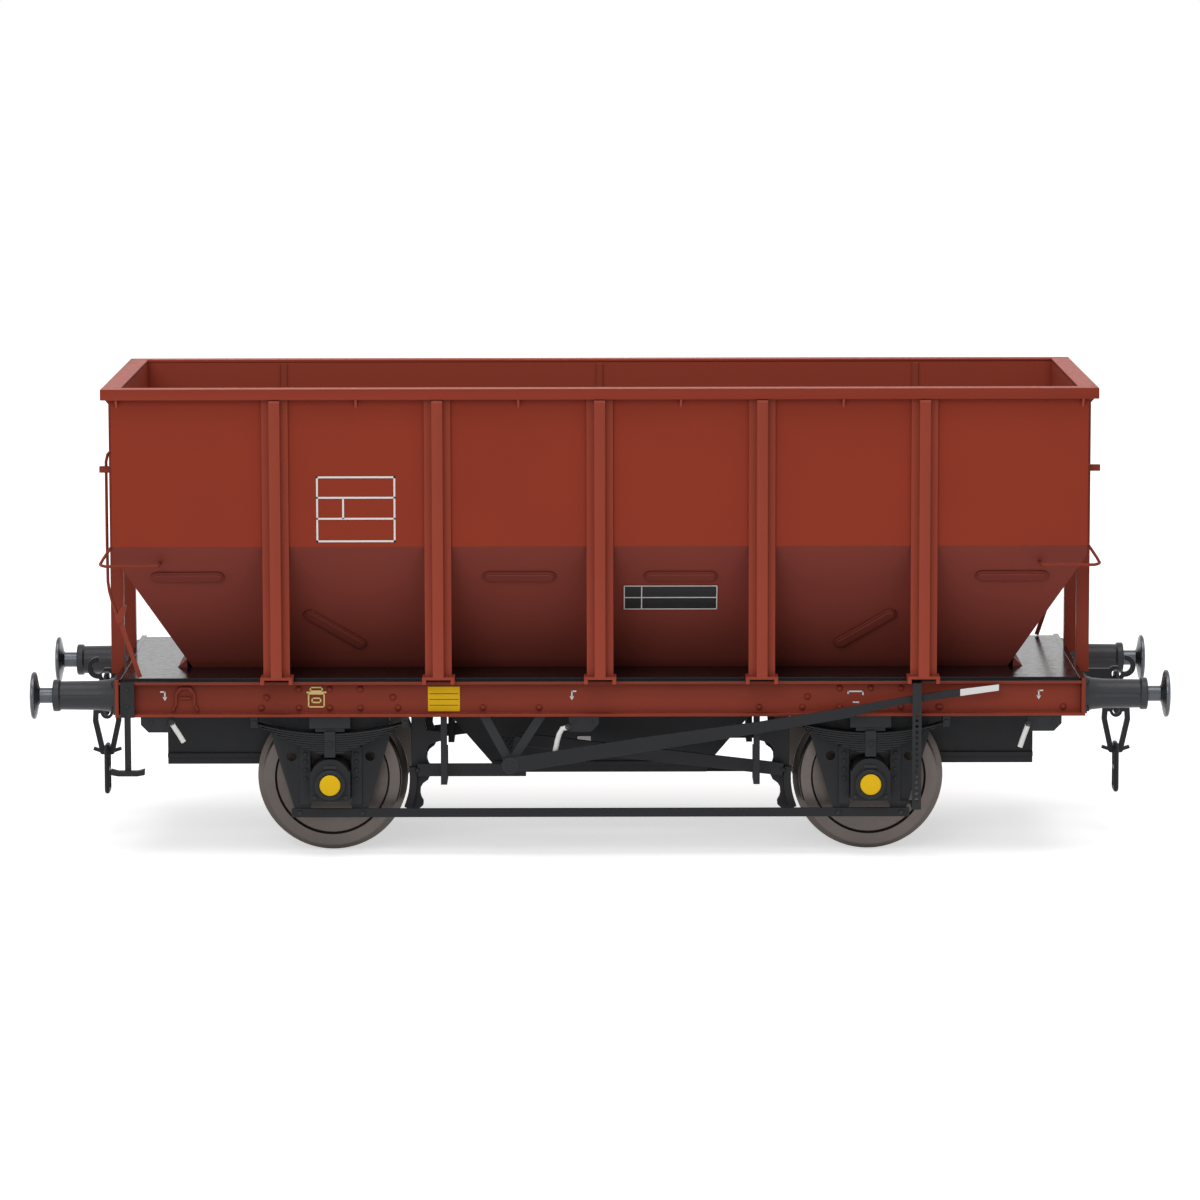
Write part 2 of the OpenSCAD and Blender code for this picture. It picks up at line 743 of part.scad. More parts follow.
// Middle link in the plane of the wagon's length: wide at its pin, narrow below, with two horns
module screw_link(eye_x) {
    bar = 0.85;
    ring_r = tri_eye_r + 0.45;
    low_half = 0.75;
    horn = [2.2, -tri_len + 0.5];
    color(frame_black)
    translate([-eye_x, 0, tri_pin_z]) difference() {
        union() {
            bar_y(0, 0, 2 * ring_r, -bar / 2, bar / 2);
            strip([-tri_half, 0.3], [tri_half, 0.3], bar, -bar / 2, bar / 2);
            strip([-low_half, -tri_len], [low_half, -tri_len], tri_bar, -bar / 2, bar / 2);
            for (side = [-1, 1]) {
                strips([[side * tri_half, 0.3], [side * (tri_half + 0.1), -1.3], [side * low_half, -tri_len]],
                    bar, -bar / 2, bar / 2);
                bar_y(side * tri_half, 0.3, bar, -bar / 2, bar / 2);
                bar_y(side * low_half, -tri_len, tri_bar, -bar / 2, bar / 2);
                strip([side * low_half, -tri_len], [side * horn[0], horn[1]], 0.5, -bar / 2, bar / 2);
            }
        }
        bar_y(0, 0, 2 * tri_eye_r, -1, 1);
    }
}

// ---------- brake and door gear, as on the front side ----------
// V-shaped hanger with the short brake shaft through its boss
module v_hanger() {
    top = frame_low;
    leg_half = 0.8;
    for (x = [shaft_x - 4, shaft_x + 4.8])
        plate_xz([[x - leg_half, top], [x + leg_half, top], [shaft_x + leg_half, shaft_z],
            [shaft_x - leg_half, shaft_z]], -v_y - strap_t / 2, -v_y + strap_t / 2);
    bar_y(shaft_x, shaft_z, 2.4, -v_y - 0.6, -v_y + 0.6);
    bar_y(shaft_x, shaft_z, shaft_d, -lever_y, -rod_y - rod_t / 2);
    strip([shaft_x, shaft_z - 2], [shaft_x + 1.4, shaft_z + 3.4], 1.4,
        -rod_y - 1.5 * rod_t, -rod_y - rod_t / 2);
}
module v_hangers() { color(frame_black) twice() v_hanger(); }

// Long lever, deep at its pivot and cranked up to its handle
module brake_lever() {
    y0 = -lever_y - lever_t / 2;
    y1 = -lever_y + lever_t / 2;
    difference() {
        union() {
            plate_xz([[shaft_x, shaft_z + 1.2], [6.1, 19.4], [24.7, 21.9], [38.7, 24.2], [46.4, 25.6],
                [52.6, 26.6], [61.8, 27.7], [61.8, 26.7], [55.7, 25.8], [46.4, 24.5], [41.8, 23.4],
                [38.7, 22.5], [24.7, 20.1], [6.1, 17.2], [shaft_x, shaft_z - 1.2]], y0, y1);
            bar_y(shaft_x, shaft_z, 2.6, y0, y1);
        }
        bar_y(shaft_x, shaft_z, shaft_d, y0 - 1, y1 + 1);
    }
}
module brake_levers() { color(frame_black) twice() brake_lever(); }

// Perforated guide for the lever, with its brackets
module lever_guide() {
    hole_count = 16;
    hole_d = 0.5;
    hole_low = guide_low + 1.6;
    hole_high = 23;
    difference() {
        block([guide_x - guide_w / 2, -guide_y - guide_t, guide_low],
            [guide_x + guide_w / 2, -guide_y, frame_top]);
        for (i = [0 : hole_count - 1])
            bar_y(guide_x, hole_low + (hole_high - hole_low) * i / (hole_count - 1), hole_d,
                -guide_y - 1, -guide_y + 1);
    }
    block([guide_x - guide_w / 2, -guide_y, frame_top - 0.5], [guide_x + guide_w / 2, -frame_y, frame_top]);
    block([guide_x - guide_w / 2, -guide_y, guide_low], [guide_x + guide_w / 2, -guard_y, guide_low + 0.5]);
    block([axle_x + 4, -guard_y - 0.5, guide_low], [guide_x, -guard_y, guide_low + 0.5]);
}
module lever_guides() { color(frame_black) twice() lever_guide(); }

// Flat rods from the shaft's crank to the two brake hangers
module push_rod_pair() {
    y0 = -rod_y - rod_t / 2;
    y1 = -rod_y + rod_t / 2;
    rod_h = 2;
    strip([-hanger_x, push_z], [shaft_x + 2.4, push_z], rod_h, y0, y1);
    strip([shaft_x + 1, shaft_z + 3], [hanger_x, push_z], rod_h, y0, y1);
}
module push_rods() { color(frame_black) twice() push_rod_pair(); }

// A hanger with its shoe beside the wheel's tread
module brake_shoe() {
    y0 = -wheel_out_y + 0.1;
    y1 = -wheel_in_y - 1.2;
    shoe_in = wheel_r + shoe_gap;
    hang_y = (y0 + y1) / 2;
    intersection() {
        difference() {
            bar_y(axle_x, axle_z, 2 * (shoe_in + shoe_t), y0, y1);
            bar_y(axle_x, axle_z, 2 * shoe_in, y0 - 1, y1 + 1);
        }
        block([0, y0, axle_z - 5], [axle_x, y1, axle_z + 4.5]);
    }
    block([hanger_x - 0.3, hang_y - 0.6, axle_z - 2.9], [hanger_x + 0.9, hang_y + 0.6, bearer_z - 1.5]);
    bar_y(hanger_x, push_z, 1.2, -rod_y + rod_t / 2, hang_y);
}
module brake_shoes() {
    color(frame_black)
    twice() {
        brake_shoe();
        mirror([1, 0, 0]) brake_shoe();
    }
}

// Straps that pass under the push rods
module safety_straps() {
    strap_x = hanger_x - 4.3;
    strap_w = 1;
    inner_y = rod_y - 1.2;
    low = push_z - 1.5;
    color(frame_black)
    twice() for (side = [-1, 1]) translate([side * strap_x, 0, 0]) {
        block([-strap_w / 2, -v_y - 0.3, low], [strap_w / 2, -v_y + 0.2, frame_low]);
        block([-strap_w / 2, -v_y - 0.3, low], [strap_w / 2, -inner_y, low + 0.4]);
        block([-strap_w / 2, -inner_y - 0.5, low], [strap_w / 2, -inner_y, push_z + 3.8]);
    }
}

// Where the three door levers of a side sit: bracket from, bracket to, lever lean
door_sets = [[-end_chute_out - 3, -end_chute_out + 1.7, 1], [-4.9, -0.2, -1],
    [end_chute_out - 2.1, end_chute_out + 3.3, -1]];

// Plates under the solebar, with the lower outer corner cut off
module door_brackets() {
    depth = 2.4;
    cut = 1.2;
    color(frame_black)
    twice() for (s = door_sets) {
        lever_end = s[2] > 0 ? s[1] : s[0];
        other = s[2] > 0 ? s[0] : s[1];
        plate_xz([[other, frame_low], [other, frame_low - depth + cut],
            [other + s[2] * cut, frame_low - depth], [lever_end, frame_low - depth],
            [lever_end, frame_low]], -frame_y + 0.2, -frame_y + 1);
    }
}

// Short levers with white handles
module door_levers() {
    lever_d = 0.8;
    color(white)
    twice() for (s = door_sets) {
        x = s[2] > 0 ? s[1] - 0.4 : s[0] + 0.4;
        rods([[x, -frame_y + 0.2, frame_low - 1.2], [x, -frame_y - 0.4, frame_low - 1.2],
            [x + s[2] * 2.4, -frame_y - 0.4, frame_low - 4.6]], lever_d);
    }
}

// Plate on the solebar with a hanging strap and a step at its foot
module corner_step() {
    x = -frame_x + step_in;
    foot_z0 = 13.4;
    block([x - 1.1, -frame_y - 0.3, frame_low], [x + 1.1, -frame_y, frame_top]);
    block([x - 0.5, -frame_y - 0.3, foot_z0], [x + 0.5, -frame_y, frame_low]);
    plate_xz([[x - 2.6, foot_z0 + 0.2], [x - 2.6, foot_z0 + 1.1], [x - 1.5, foot_z0 + 0.8],
        [x + 1.5, foot_z0 + 0.8], [x + 2.6, foot_z0 + 1.1], [x + 2.6, foot_z0 + 0.2],
        [x + 1.5, foot_z0], [x - 1.5, foot_z0]], -frame_y - 1, -frame_y + 0.4);
}
module corner_steps() { color(frame_black) twice() corner_step(); }

side_sheet();  // side_sheet_front
turned() side_sheet();  // side_sheet_back
side_slope();  // side_slope_front
turned() side_slope();  // side_slope_back
end_sheet();  // end_sheet_left
turned() end_sheet();  // end_sheet_right
end_slope();  // end_slope_left
turned() end_slope();  // end_slope_right
saddles();
top_rim();
side_ribs();  // side_ribs_front
turned() side_ribs();  // side_ribs_back
end_posts();
end_stays();
handrails();
hopper_skirt();
deck_sides();
deck_ends();
deck_bridges();
end_chute();  // chute_left
chute_middle();
turned() end_chute();  // chute_right
chute_doors();
solebar();  // solebar_front
turned() solebar();  // solebar_back
headstocks();
cross_bearers();
axleguards();
axleboxes();
leaf_springs();
tie_bars();
wheelset();  // wheelset_left
turned() wheelset();  // wheelset_right
buffer_housings();
buffer_head();  // buffer_left_front
mirror([0, 1, 0]) buffer_head();  // buffer_left_back
turned() mirror([0, 1, 0]) buffer_head();  // buffer_right_front
turned() buffer_head();  // buffer_right_back
drawhooks();
shackle(eye_left);  // shackle_left
turned() shackle(eye_right);  // shackle_right
screw_link(eye_left);  // screw_link_left
turned() screw_link(eye_right);  // screw_link_right
end_link(eye_left);  // end_link_left
turned() end_link(eye_right);  // end_link_right
v_hangers();
brake_levers();
lever_guides();
push_rods();
brake_shoes();
safety_straps();
door_brackets();
door_levers();
corner_steps();
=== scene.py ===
"""Looks of the open hopper wagon: paint, rivets, springs, links, panels and the studio."""
import json
import math

import bmesh
import bpy
from mathutils import Matrix, Vector

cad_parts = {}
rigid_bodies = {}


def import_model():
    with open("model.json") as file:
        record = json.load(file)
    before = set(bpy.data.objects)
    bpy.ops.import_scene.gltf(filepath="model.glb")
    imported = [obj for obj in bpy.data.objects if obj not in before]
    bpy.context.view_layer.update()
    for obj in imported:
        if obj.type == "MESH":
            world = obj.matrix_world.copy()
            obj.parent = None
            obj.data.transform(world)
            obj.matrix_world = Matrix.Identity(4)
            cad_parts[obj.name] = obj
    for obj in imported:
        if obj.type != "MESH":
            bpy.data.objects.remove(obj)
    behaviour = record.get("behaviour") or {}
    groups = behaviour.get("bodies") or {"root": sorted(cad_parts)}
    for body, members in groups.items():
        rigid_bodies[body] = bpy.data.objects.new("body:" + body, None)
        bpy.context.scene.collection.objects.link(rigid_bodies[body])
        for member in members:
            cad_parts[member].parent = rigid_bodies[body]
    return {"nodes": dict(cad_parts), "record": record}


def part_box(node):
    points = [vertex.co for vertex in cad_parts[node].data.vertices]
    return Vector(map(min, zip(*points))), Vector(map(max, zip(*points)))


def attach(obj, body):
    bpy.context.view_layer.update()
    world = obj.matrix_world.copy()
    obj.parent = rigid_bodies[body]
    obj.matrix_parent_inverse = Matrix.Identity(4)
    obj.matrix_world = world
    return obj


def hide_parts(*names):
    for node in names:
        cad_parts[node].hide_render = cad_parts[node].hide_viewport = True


for leftover in list(bpy.data.objects):
    bpy.data.objects.remove(leftover)
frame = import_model()
bpy.context.view_layer.update()
MM = 0.001
SHARP = math.radians(32)  # edges sharper than this stay sharp, and are the ones rounded
HALF_TURN = Matrix.Rotation(math.pi, 4, "Z")
ACROSS = Matrix.Scale(-1, 4, Vector((0, 1, 0)))
BODIES = frame["record"]["behaviour"]["bodies"]
BODY_OF = {node: body for body, nodes in BODIES.items() for node in nodes}


# ---------- places taken from the frame, in millimetres ----------
def low(node):
    return [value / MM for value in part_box(node)[0]]


def high(node):
    return [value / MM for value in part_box(node)[1]]


SIDE_Y = low("side_sheet_front")[1]
END_X = low("side_sheet_front")[0]
CREASE_Z = low("side_sheet_front")[2]
DECK_TOP = high("deck_sides")[2]
FRAME_TOP = high("solebar_front")[2]
FRAME_LOW = low("solebar_front")[2]
FRAME_Y = low("solebar_front")[1]
WEB_Y = FRAME_Y + 1.5  # the solebar's web is set back behind its flanges
FRAME_X = low("solebar_front")[0]
STOCK_X = low("headstocks")[0]
RIM_LOW = low("top_rim")[2]
RIM_TOP = high("top_rim")[2]
RIM_X = low("top_rim")[0]
RIM_Y = low("top_rim")[1]
INNER_Y = high("side_sheet_front")[1]
AXLE_X = (low("wheelset_right")[0] + high("wheelset_right")[0]) / 2
AXLE_Z = high("wheelset_left")[2] / 2
GUARD_Y = low("axleguards")[1]
BUFFER_Y = (low("buffer_left_front")[1] + high("buffer_left_front")[1]) / 2
BUFFER_Z = (low("buffer_left_front")[2] + high("buffer_left_front")[2]) / 2
SLOPE_LOW = low("side_slope_front")[2]
SLOPE_THICK_Y = 1.604  # a side slope's thickness measured along Y
SIDE_RUN = (high("side_slope_front")[1] - SLOPE_THICK_Y - SIDE_Y) / (CREASE_Z - SLOPE_LOW)
RIB_PITCH = 25.0


# ---------- materials ----------
def finish(name, colour, roughness, metallic=0.0, grain=0.15, mottle=0.06, crease_shade=0.35, coat=0.0,
           edge=0.0, specular=0.5, inner=None):
    """A painted or metal surface: mottled colour, painted shade in creases, a painted highlight on sharp
    edges, uneven gloss and fine grain.

    Faces that look towards the wagon's middle take the inner colour, if there is one: painted light that
    brightens the shaded inside of the hopper."""
    material = bpy.data.materials.new(name)
    material.use_nodes = True
    nodes, links = material.node_tree.nodes, material.node_tree.links
    shader = nodes["Principled BSDF"]
    shader.inputs["Metallic"].default_value = metallic
    shader.inputs["Coat Weight"].default_value = coat
    shader.inputs["Coat Roughness"].default_value = 0.25
    shader.inputs["Specular IOR Level"].default_value = specular
    place = nodes.new("ShaderNodeTexCoord")

    def noise(scale, detail):
        node = nodes.new("ShaderNodeTexNoise")
        node.inputs["Scale"].default_value = scale
        node.inputs["Detail"].default_value = detail
        links.new(place.outputs["Object"], node.inputs["Vector"])
        return node.outputs["Fac"]

    def mix(factor, first, second, blend="MIX"):
        node = nodes.new("ShaderNodeMix")
        node.data_type = "RGBA"
        node.blend_type = blend
        for index, value in ((0, factor), (6, first), (7, second)):
            socket = node.inputs[index]
            if isinstance(value, bpy.types.NodeSocket):
                links.new(value, socket)
            else:
                socket.default_value = value
        return node.outputs[2]

    def spread(value, low_in, high_in, low_out, high_out):
        node = nodes.new("ShaderNodeMapRange")
        links.new(value, node.inputs["Value"])
        for key, number in (("From Min", low_in), ("From Max", high_in), ("To Min", low_out),
                            ("To Max", high_out)):
            node.inputs[key].default_value = number
        return node.outputs["Result"]

    def shade(factor):
        return tuple(min(1.0, channel * factor) for channel in colour) + (1.0,)

    broad = spread(noise(55.0, 3.0), 0.35, 0.65, 0.0, 1.0)
    tone = mix(broad, shade(1 - mottle), shade(1 + mottle))
    surface_info = nodes.new("ShaderNodeNewGeometry")
    # painted light: inward-facing faces take a lighter, greyer colour in place of the shade inside the hopper
    if inner:
        level = nodes.new("ShaderNodeVectorMath")
        level.operation = "MULTIPLY"
        level.inputs[1].default_value = (1, 1, 0)
        facing = nodes.new("ShaderNodeVectorMath")
        facing.operation = "DOT_PRODUCT"
        links.new(place.outputs["Object"], level.inputs[0])
        links.new(level.outputs["Vector"], facing.inputs[0])
        links.new(surface_info.outputs["Normal"], facing.inputs[1])
        tone = mix(spread(facing.outputs["Value"], 0.0, -1.0 * MM, 0.0, 1.0), tone, inner + (1.0,))
    # painted highlight: sharp convex edges, found by pointiness, are lightened towards 1.9 times the colour
    if edge:
        tone = mix(spread(surface_info.outputs["Pointiness"], 0.54, 0.62, 0.0, edge), tone, shade(1.9))
    # painted shade: ambient occlusion darkens the colour in creases, recesses and between parts
    if crease_shade:
        crease = nodes.new("ShaderNodeAmbientOcclusion")
        crease.samples = 6
        crease.inputs["Distance"].default_value = 1.6 * MM
        tone = mix(spread(crease.outputs["AO"], 0.25, 0.95, crease_shade, 0.0), tone, shade(0.25))
    links.new(tone, shader.inputs["Base Color"])
    fine = noise(1100.0, 4.0)
    links.new(spread(fine, 0.3, 0.7, roughness - 0.05, roughness + 0.06), shader.inputs["Roughness"])
    bump = nodes.new("ShaderNodeBump")
    bump.inputs["Strength"].default_value = grain
    bump.inputs["Distance"].default_value = 0.02 * MM
    links.new(noise(2600.0, 3.0), bump.inputs["Height"])
    links.new(bump.outputs["Normal"], shader.inputs["Normal"])
    return material


# Each finish paints shade in its creases and a highlight on its sharp edges, by the amounts given to it.
RED = finish("bauxite red paint", (0.245, 0.034, 0.0165), 0.45, edge=0.35, specular=0.08,
             # the inner colour is painted light, lighter and greyer, for the hopper's shaded inside
             inner=(0.325, 0.068, 0.041))
# A darker, greyer copy of the red paint for the sloping sheets: painted shade, with a painted sheen of the
# floor's light.
SHADED_SLOPE_RED = finish("shaded slope red paint", (0.204, 0.045, 0.033), 0.5, edge=0.35, specular=0.06)
# A lighter copy of the red paint for the ribs and gussets: painted light that makes them brighter than the
# panels.
RIBS = finish("rib red paint", (0.29, 0.052, 0.029), 0.42, edge=0.6, specular=0.1)
FRAME = finish("frame red paint", (0.235, 0.04, 0.022), 0.42, edge=0.35, specular=0.12)
# A darker copy of the red paint for the top rim: painted shade, with the strongest painted highlight on its
# edges.
RIM = finish("satin red paint", (0.21, 0.031, 0.016), 0.4, edge=1.0, specular=0.1)
BLACK = finish("satin black paint", (0.025, 0.026, 0.0285), 0.4, edge=0.5, crease_shade=0.2, specular=0.15)
GEAR = finish("brake gear black", (0.0235, 0.0245, 0.027), 0.4, edge=0.3, crease_shade=0.2, specular=0.15)
CAST = finish("cast black", (0.04, 0.042, 0.048), 0.34, edge=0.5, crease_shade=0.2, specular=0.25)
DECK = finish("gloss black deck", (0.012, 0.012, 0.014), 0.17, grain=0.05, crease_shade=0.0, specular=0.24)
WHEEL = finish("browned wheel steel", (0.115, 0.098, 0.089), 0.36, metallic=0.85, grain=0.25,
               mottle=0.12, crease_shade=0.3)
STEEL = finish("blackened steel", (0.09, 0.098, 0.11), 0.27, metallic=0.8, grain=0.1)
WHITE = finish("white paint", (0.86, 0.86, 0.84), 0.5, crease_shade=0.1, mottle=0.02)
YELLOW = finish("yellow paint", (0.95, 0.59, 0.013), 0.45, crease_shade=0.1, mottle=0.04, specular=0.1)
STRAW = finish("straw label", (0.8, 0.62, 0.22), 0.5, crease_shade=0.1, mottle=0.05)
PANEL = finish("black panel", (0.016, 0.016, 0.017), 0.45, crease_shade=0.0)


# ---------- mesh building, all in millimetres ----------
class Shape:
    """Collects closed solids in one mesh and makes a piece of them."""

    def __init__(self):
        self.bm = bmesh.new()

    def prism(self, outline, place):
        """An outline in the place's own x and y, from its z 0 to z 1 scaled by place."""
        rings = [[self.bm.verts.new(place @ Vector((x, y, z))) for x, y in outline] for z in (0, 1)]
        count = len(outline)
        faces = [self.bm.faces.new(rings[0][::-1]), self.bm.faces.new(rings[1])]
        for i in range(count):
            j = (i + 1) % count
            faces.append(self.bm.faces.new([rings[0][i], rings[0][j], rings[1][j], rings[1][i]]))
        bmesh.ops.recalc_face_normals(self.bm, faces=faces)

    def box(self, corner, other):
        (x0, y0, z0), (x1, y1, z1) = corner, other
        self.plate([(x0, z0), (x1, z0), (x1, z1), (x0, z1)], y0, y1)

    def plate(self, outline, y0, y1):
        """An outline in X and Z, from y0 to y1."""
        place = Matrix(((1, 0, 0, 0), (0, 0, y1 - y0, y0), (0, 1, 0, 0), (0, 0, 0, 1)))
        self.prism(outline, place)

    def slab(self, outline, x0, x1):
        """An outline in Y and Z, from x0 to x1."""
        place = Matrix(((0, 0, x1 - x0, x0), (1, 0, 0, 0), (0, 1, 0, 0), (0, 0, 0, 1)))
        self.prism(outline, place)

    def lathe(self, profile, base, axis, steps=32):
        """A turned solid: (radius, distance) pairs from base along axis, closed at both ends."""
        turn = Vector(axis).normalized().to_track_quat("Z", "Y").to_matrix().to_4x4()
        place = Matrix.Translation(Vector(base)) @ turn
        rings = []
        for radius, distance in profile:
            if radius < 1e-6:
                rings.append([self.bm.verts.new(place @ Vector((0, 0, distance)))])
                continue
            turns = (2 * math.pi * i / steps for i in range(steps))
            rings.append([self.bm.verts.new(place @ Vector((radius * math.cos(a), radius * math.sin(a),
                                                            distance))) for a in turns])
        faces = []
        for first, second in zip(rings, rings[1:]):
            for i in range(steps):
                j = (i + 1) % steps
                corners = [first[i % len(first)], first[j % len(first)], second[j % len(second)],
                           second[i % len(second)]]
                unique = list(dict.fromkeys(corners))
                if len(unique) > 2:
                    faces.append(self.bm.faces.new(unique))
        for ring in (rings[0], rings[-1]):
            if len(ring) > 1:
                faces.append(self.bm.faces.new(ring))
        bmesh.ops.recalc_face_normals(self.bm, faces=faces)

    def bolt(self, centre, axis, radius, height):
        """A domed head that starts just under the surface."""
        profile = [(radius, -0.05)]
        steps = 4
        for i in range(steps + 1):
            angle = math.pi / 2 * i / steps
            profile.append((radius * math.cos(angle), height * math.sin(angle)))
        profile[-1] = (0, height)
        self.lathe(profile, centre, axis, 14)

    def nut(self, centre, axis, radius, height):
        profile = [(radius, -0.05), (radius, height * 0.8), (radius * 0.85, height), (0, height)]
        self.lathe(profile, centre, axis, 6)

    def tube(self, path, radius, closed=False, sides=12):
        """A round bar swept along a path of points."""
        points = [Vector(p) for p in path]
        count = len(points)
        rings = []
        side = None
        for i, point in enumerate(points):
            before = points[i - 1] if i or closed else None
            after = points[(i + 1) % count] if i < count - 1 or closed else None
            ahead = ((after - point).normalized() if after else Vector()) + \
                ((point - before).normalized() if before else Vector())
            ahead.normalize()
            if side is None:
                side = ahead.orthogonal().normalized()
            side = (side - ahead * side.dot(ahead)).normalized()
            other = ahead.cross(side)
            turns = (2 * math.pi * k / sides for k in range(sides))
            rings.append([self.bm.verts.new(point + (side * math.cos(a) + other * math.sin(a)) * radius)
                          for a in turns])
        faces = []
        following = rings[1:] + rings[:1] if closed else rings[1:]
        for first, second in zip(rings, following):
            best = 0
            if second is rings[0]:
                best = min(range(sides), key=lambda k: (second[k].co - first[0].co).length)
            for k in range(sides):
                m = (k + 1) % sides
                faces.append(self.bm.faces.new([first[k], first[m], second[(m + best) % sides],
                                                second[(k + best) % sides]]))
        if not closed:
            faces += [self.bm.faces.new(rings[0][::-1]), self.bm.faces.new(rings[-1])]
        bmesh.ops.recalc_face_normals(self.bm, faces=faces)

    def repeat(self, matrix):
        """Adds a copy of all so far, placed by the matrix."""
        copy = bmesh.ops.duplicate(self.bm, geom=self.bm.verts[:] + self.bm.edges[:] + self.bm.faces[:])
        verts = [item for item in copy["geom"] if isinstance(item, bmesh.types.BMVert)]
        bmesh.ops.transform(self.bm, matrix=matrix, verts=verts)
        if matrix.determinant() < 0:
            faces = [item for item in copy["geom"] if isinstance(item, bmesh.types.BMFace)]
            bmesh.ops.reverse_faces(self.bm, faces=faces)
        return self

    def piece(self, name, material, body="wagon", bevel=0.0, replaces=()):
        bmesh.ops.scale(self.bm, vec=(MM, MM, MM), verts=self.bm.verts)
        mesh = bpy.data.meshes.new(name)
        self.bm.to_mesh(mesh)
        self.bm.free()
        return dress(mesh, name, material, body, bevel, replaces)


def dress(mesh, name, material, body, bevel, replaces):
    """Makes the piece of a mesh: material, rounded edges, its body and what it stands for."""
    mesh.materials.clear()
    mesh.materials.append(material)
    for face in mesh.polygons:
        face.use_smooth = True
    mesh.set_sharp_from_angle(angle=SHARP)
    item = bpy.data.objects.new(name, mesh)
    bpy.context.scene.collection.objects.link(item)
    if bevel:
        rounding = item.modifiers.new("rounded edges", "BEVEL")
        rounding.width = bevel * MM
        rounding.segments = 2
        rounding.limit_method = "ANGLE"
        rounding.angle_limit = SHARP
        rounding.harden_normals = True
    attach(item, body)
    if replaces:
        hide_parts(*replaces)
    return item


def rounded(node, material, bevel):
    """A CAD node's own shape with its edges rounded."""
    solid = bmesh.new()
    solid.from_mesh(frame["nodes"][node].data)
    bmesh.ops.remove_doubles(solid, verts=solid.verts, dist=0.0005 * MM)
    bmesh.ops.dissolve_limit(solid, angle_limit=math.radians(0.6), verts=solid.verts, edges=solid.edges)
    mesh = bpy.data.meshes.new(node + "_rounded")
    solid.to_mesh(mesh)
    solid.free()
    return dress(mesh, node + "_rounded", material, BODY_OF[node], bevel, [node])


def repaint(node, material):
    """A CAD node that keeps its own mesh."""
    item = frame["nodes"][node]
    for index in range(len(item.material_slots)):
        item.material_slots[index].material = material


def arc(centre, radius, start, end, steps):
    """Points of an arc in a plane, angles in degrees."""
    return [(centre[0] + radius * math.cos(math.radians(start + (end - start) * i / steps)),
             centre[1] + radius * math.sin(math.radians(start + (end - start) * i / steps)))
            for i in range(steps + 1)]


def strip_outline(a, b, width):
    """The outline of a straight strip from a to b."""
    along = (Vector(b) - Vector(a)).normalized() * width / 2
    side = Vector((-along.y, along.x))
    return [tuple(Vector(a) + side), tuple(Vector(a) - side),
            tuple(Vector(b) - side), tuple(Vector(b) + side)]


def lozenge(a, b, width, steps=8):
    """A straight strip with round ends."""
    angle = math.degrees(math.atan2(b[1] - a[1], b[0] - a[0]))
    return (arc(b, width / 2, angle - 90, angle + 90, steps)
            + arc(a, width / 2, angle + 90, angle + 270, steps))


# ---------- camera, floor and light ----------
def add_camera():
    distance, height, pitch, roll = 862.2, 149.7, 7.418, 0.109
    data = bpy.data.cameras.new("camera")
    data.lens = 163.66
    data.sensor_width = 36.0
    data.clip_start = 0.01
    data.clip_end = 20.0
    camera = bpy.data.objects.new("camera", data)
    bpy.context.scene.collection.objects.link(camera)
    tilt = (Matrix.Rotation(math.radians(90 - pitch), 4, "X")
            @ Matrix.Rotation(math.radians(-roll), 4, "Z"))
    camera.matrix_world = Matrix.Translation(Vector((0, -distance, height)) * MM) @ tilt
    bpy.context.scene.camera = camera


FLOOR_LIFT = 0.57  # light that the floor gives off near the wagon, where the lamps light it too
FAR_LIFT = 0.95  # and far from it, where they hardly do
LIFT_NEAR, LIFT_FAR = 0.25, 0.9  # metres from the middle between which it changes
SOFT_LIGHT = 0.38  # the world's strength as a light


def background_rays(nodes, links):
    """1 for the rays that show the background: camera, glossy and transmission rays."""
    path = nodes.new("ShaderNodeLightPath")
    factor = path.outputs["Is Camera Ray"]
    for name in ("Is Glossy Ray", "Is Transmission Ray"):
        either = nodes.new("ShaderNodeMath")
        either.operation = "MAXIMUM"
        links.new(factor, either.inputs[0])
        links.new(path.outputs[name], either.inputs[1])
        factor = either.outputs[0]
    return factor


def add_floor():
    """White to the camera, gloss and glass, with the object's shadow; plain pale to all other light."""
    mesh = bpy.data.meshes.new("floor")
    reach = 6.0
    corners = [(-reach, -reach, 0), (reach, -reach, 0), (reach, reach, 0), (-reach, reach, 0)]
    mesh.from_pydata(corners, [], [(0, 1, 2, 3)])
    floor = bpy.data.objects.new("floor", mesh)
    bpy.context.scene.collection.objects.link(floor)
    material = bpy.data.materials.new("floor")
    material.use_nodes = True
    nodes, links = material.node_tree.nodes, material.node_tree.links
    nodes.clear()
    plain = nodes.new("ShaderNodeBsdfDiffuse")
    plain.inputs["Color"].default_value = (0.86, 0.86, 0.86, 1)
    lift = nodes.new("ShaderNodeEmission")
    where = nodes.new("ShaderNodeNewGeometry")
    away = nodes.new("ShaderNodeVectorMath")
    away.operation = "LENGTH"
    fade = nodes.new("ShaderNodeMapRange")
    for key, number in (("From Min", LIFT_NEAR), ("From Max", LIFT_FAR), ("To Min", FLOOR_LIFT),
                        ("To Max", FAR_LIFT)):
        fade.inputs[key].default_value = number
    shadowed = nodes.new("ShaderNodeBsdfDiffuse")
    shadowed.inputs["Color"].default_value = (1, 1, 1, 1)
    bright = nodes.new("ShaderNodeAddShader")
    links.new(where.outputs["Position"], away.inputs[0])
    links.new(away.outputs["Value"], fade.inputs["Value"])
    links.new(fade.outputs["Result"], lift.inputs["Strength"])
    links.new(lift.outputs[0], bright.inputs[0])
    links.new(shadowed.outputs[0], bright.inputs[1])
    choice = nodes.new("ShaderNodeMixShader")
    out = nodes.new("ShaderNodeOutputMaterial")
    links.new(background_rays(nodes, links), choice.inputs[0])
    links.new(plain.outputs[0], choice.inputs[1])
    links.new(bright.outputs[0], choice.inputs[2])
    links.new(choice.outputs[0], out.inputs[0])
    mesh.materials.append(material)


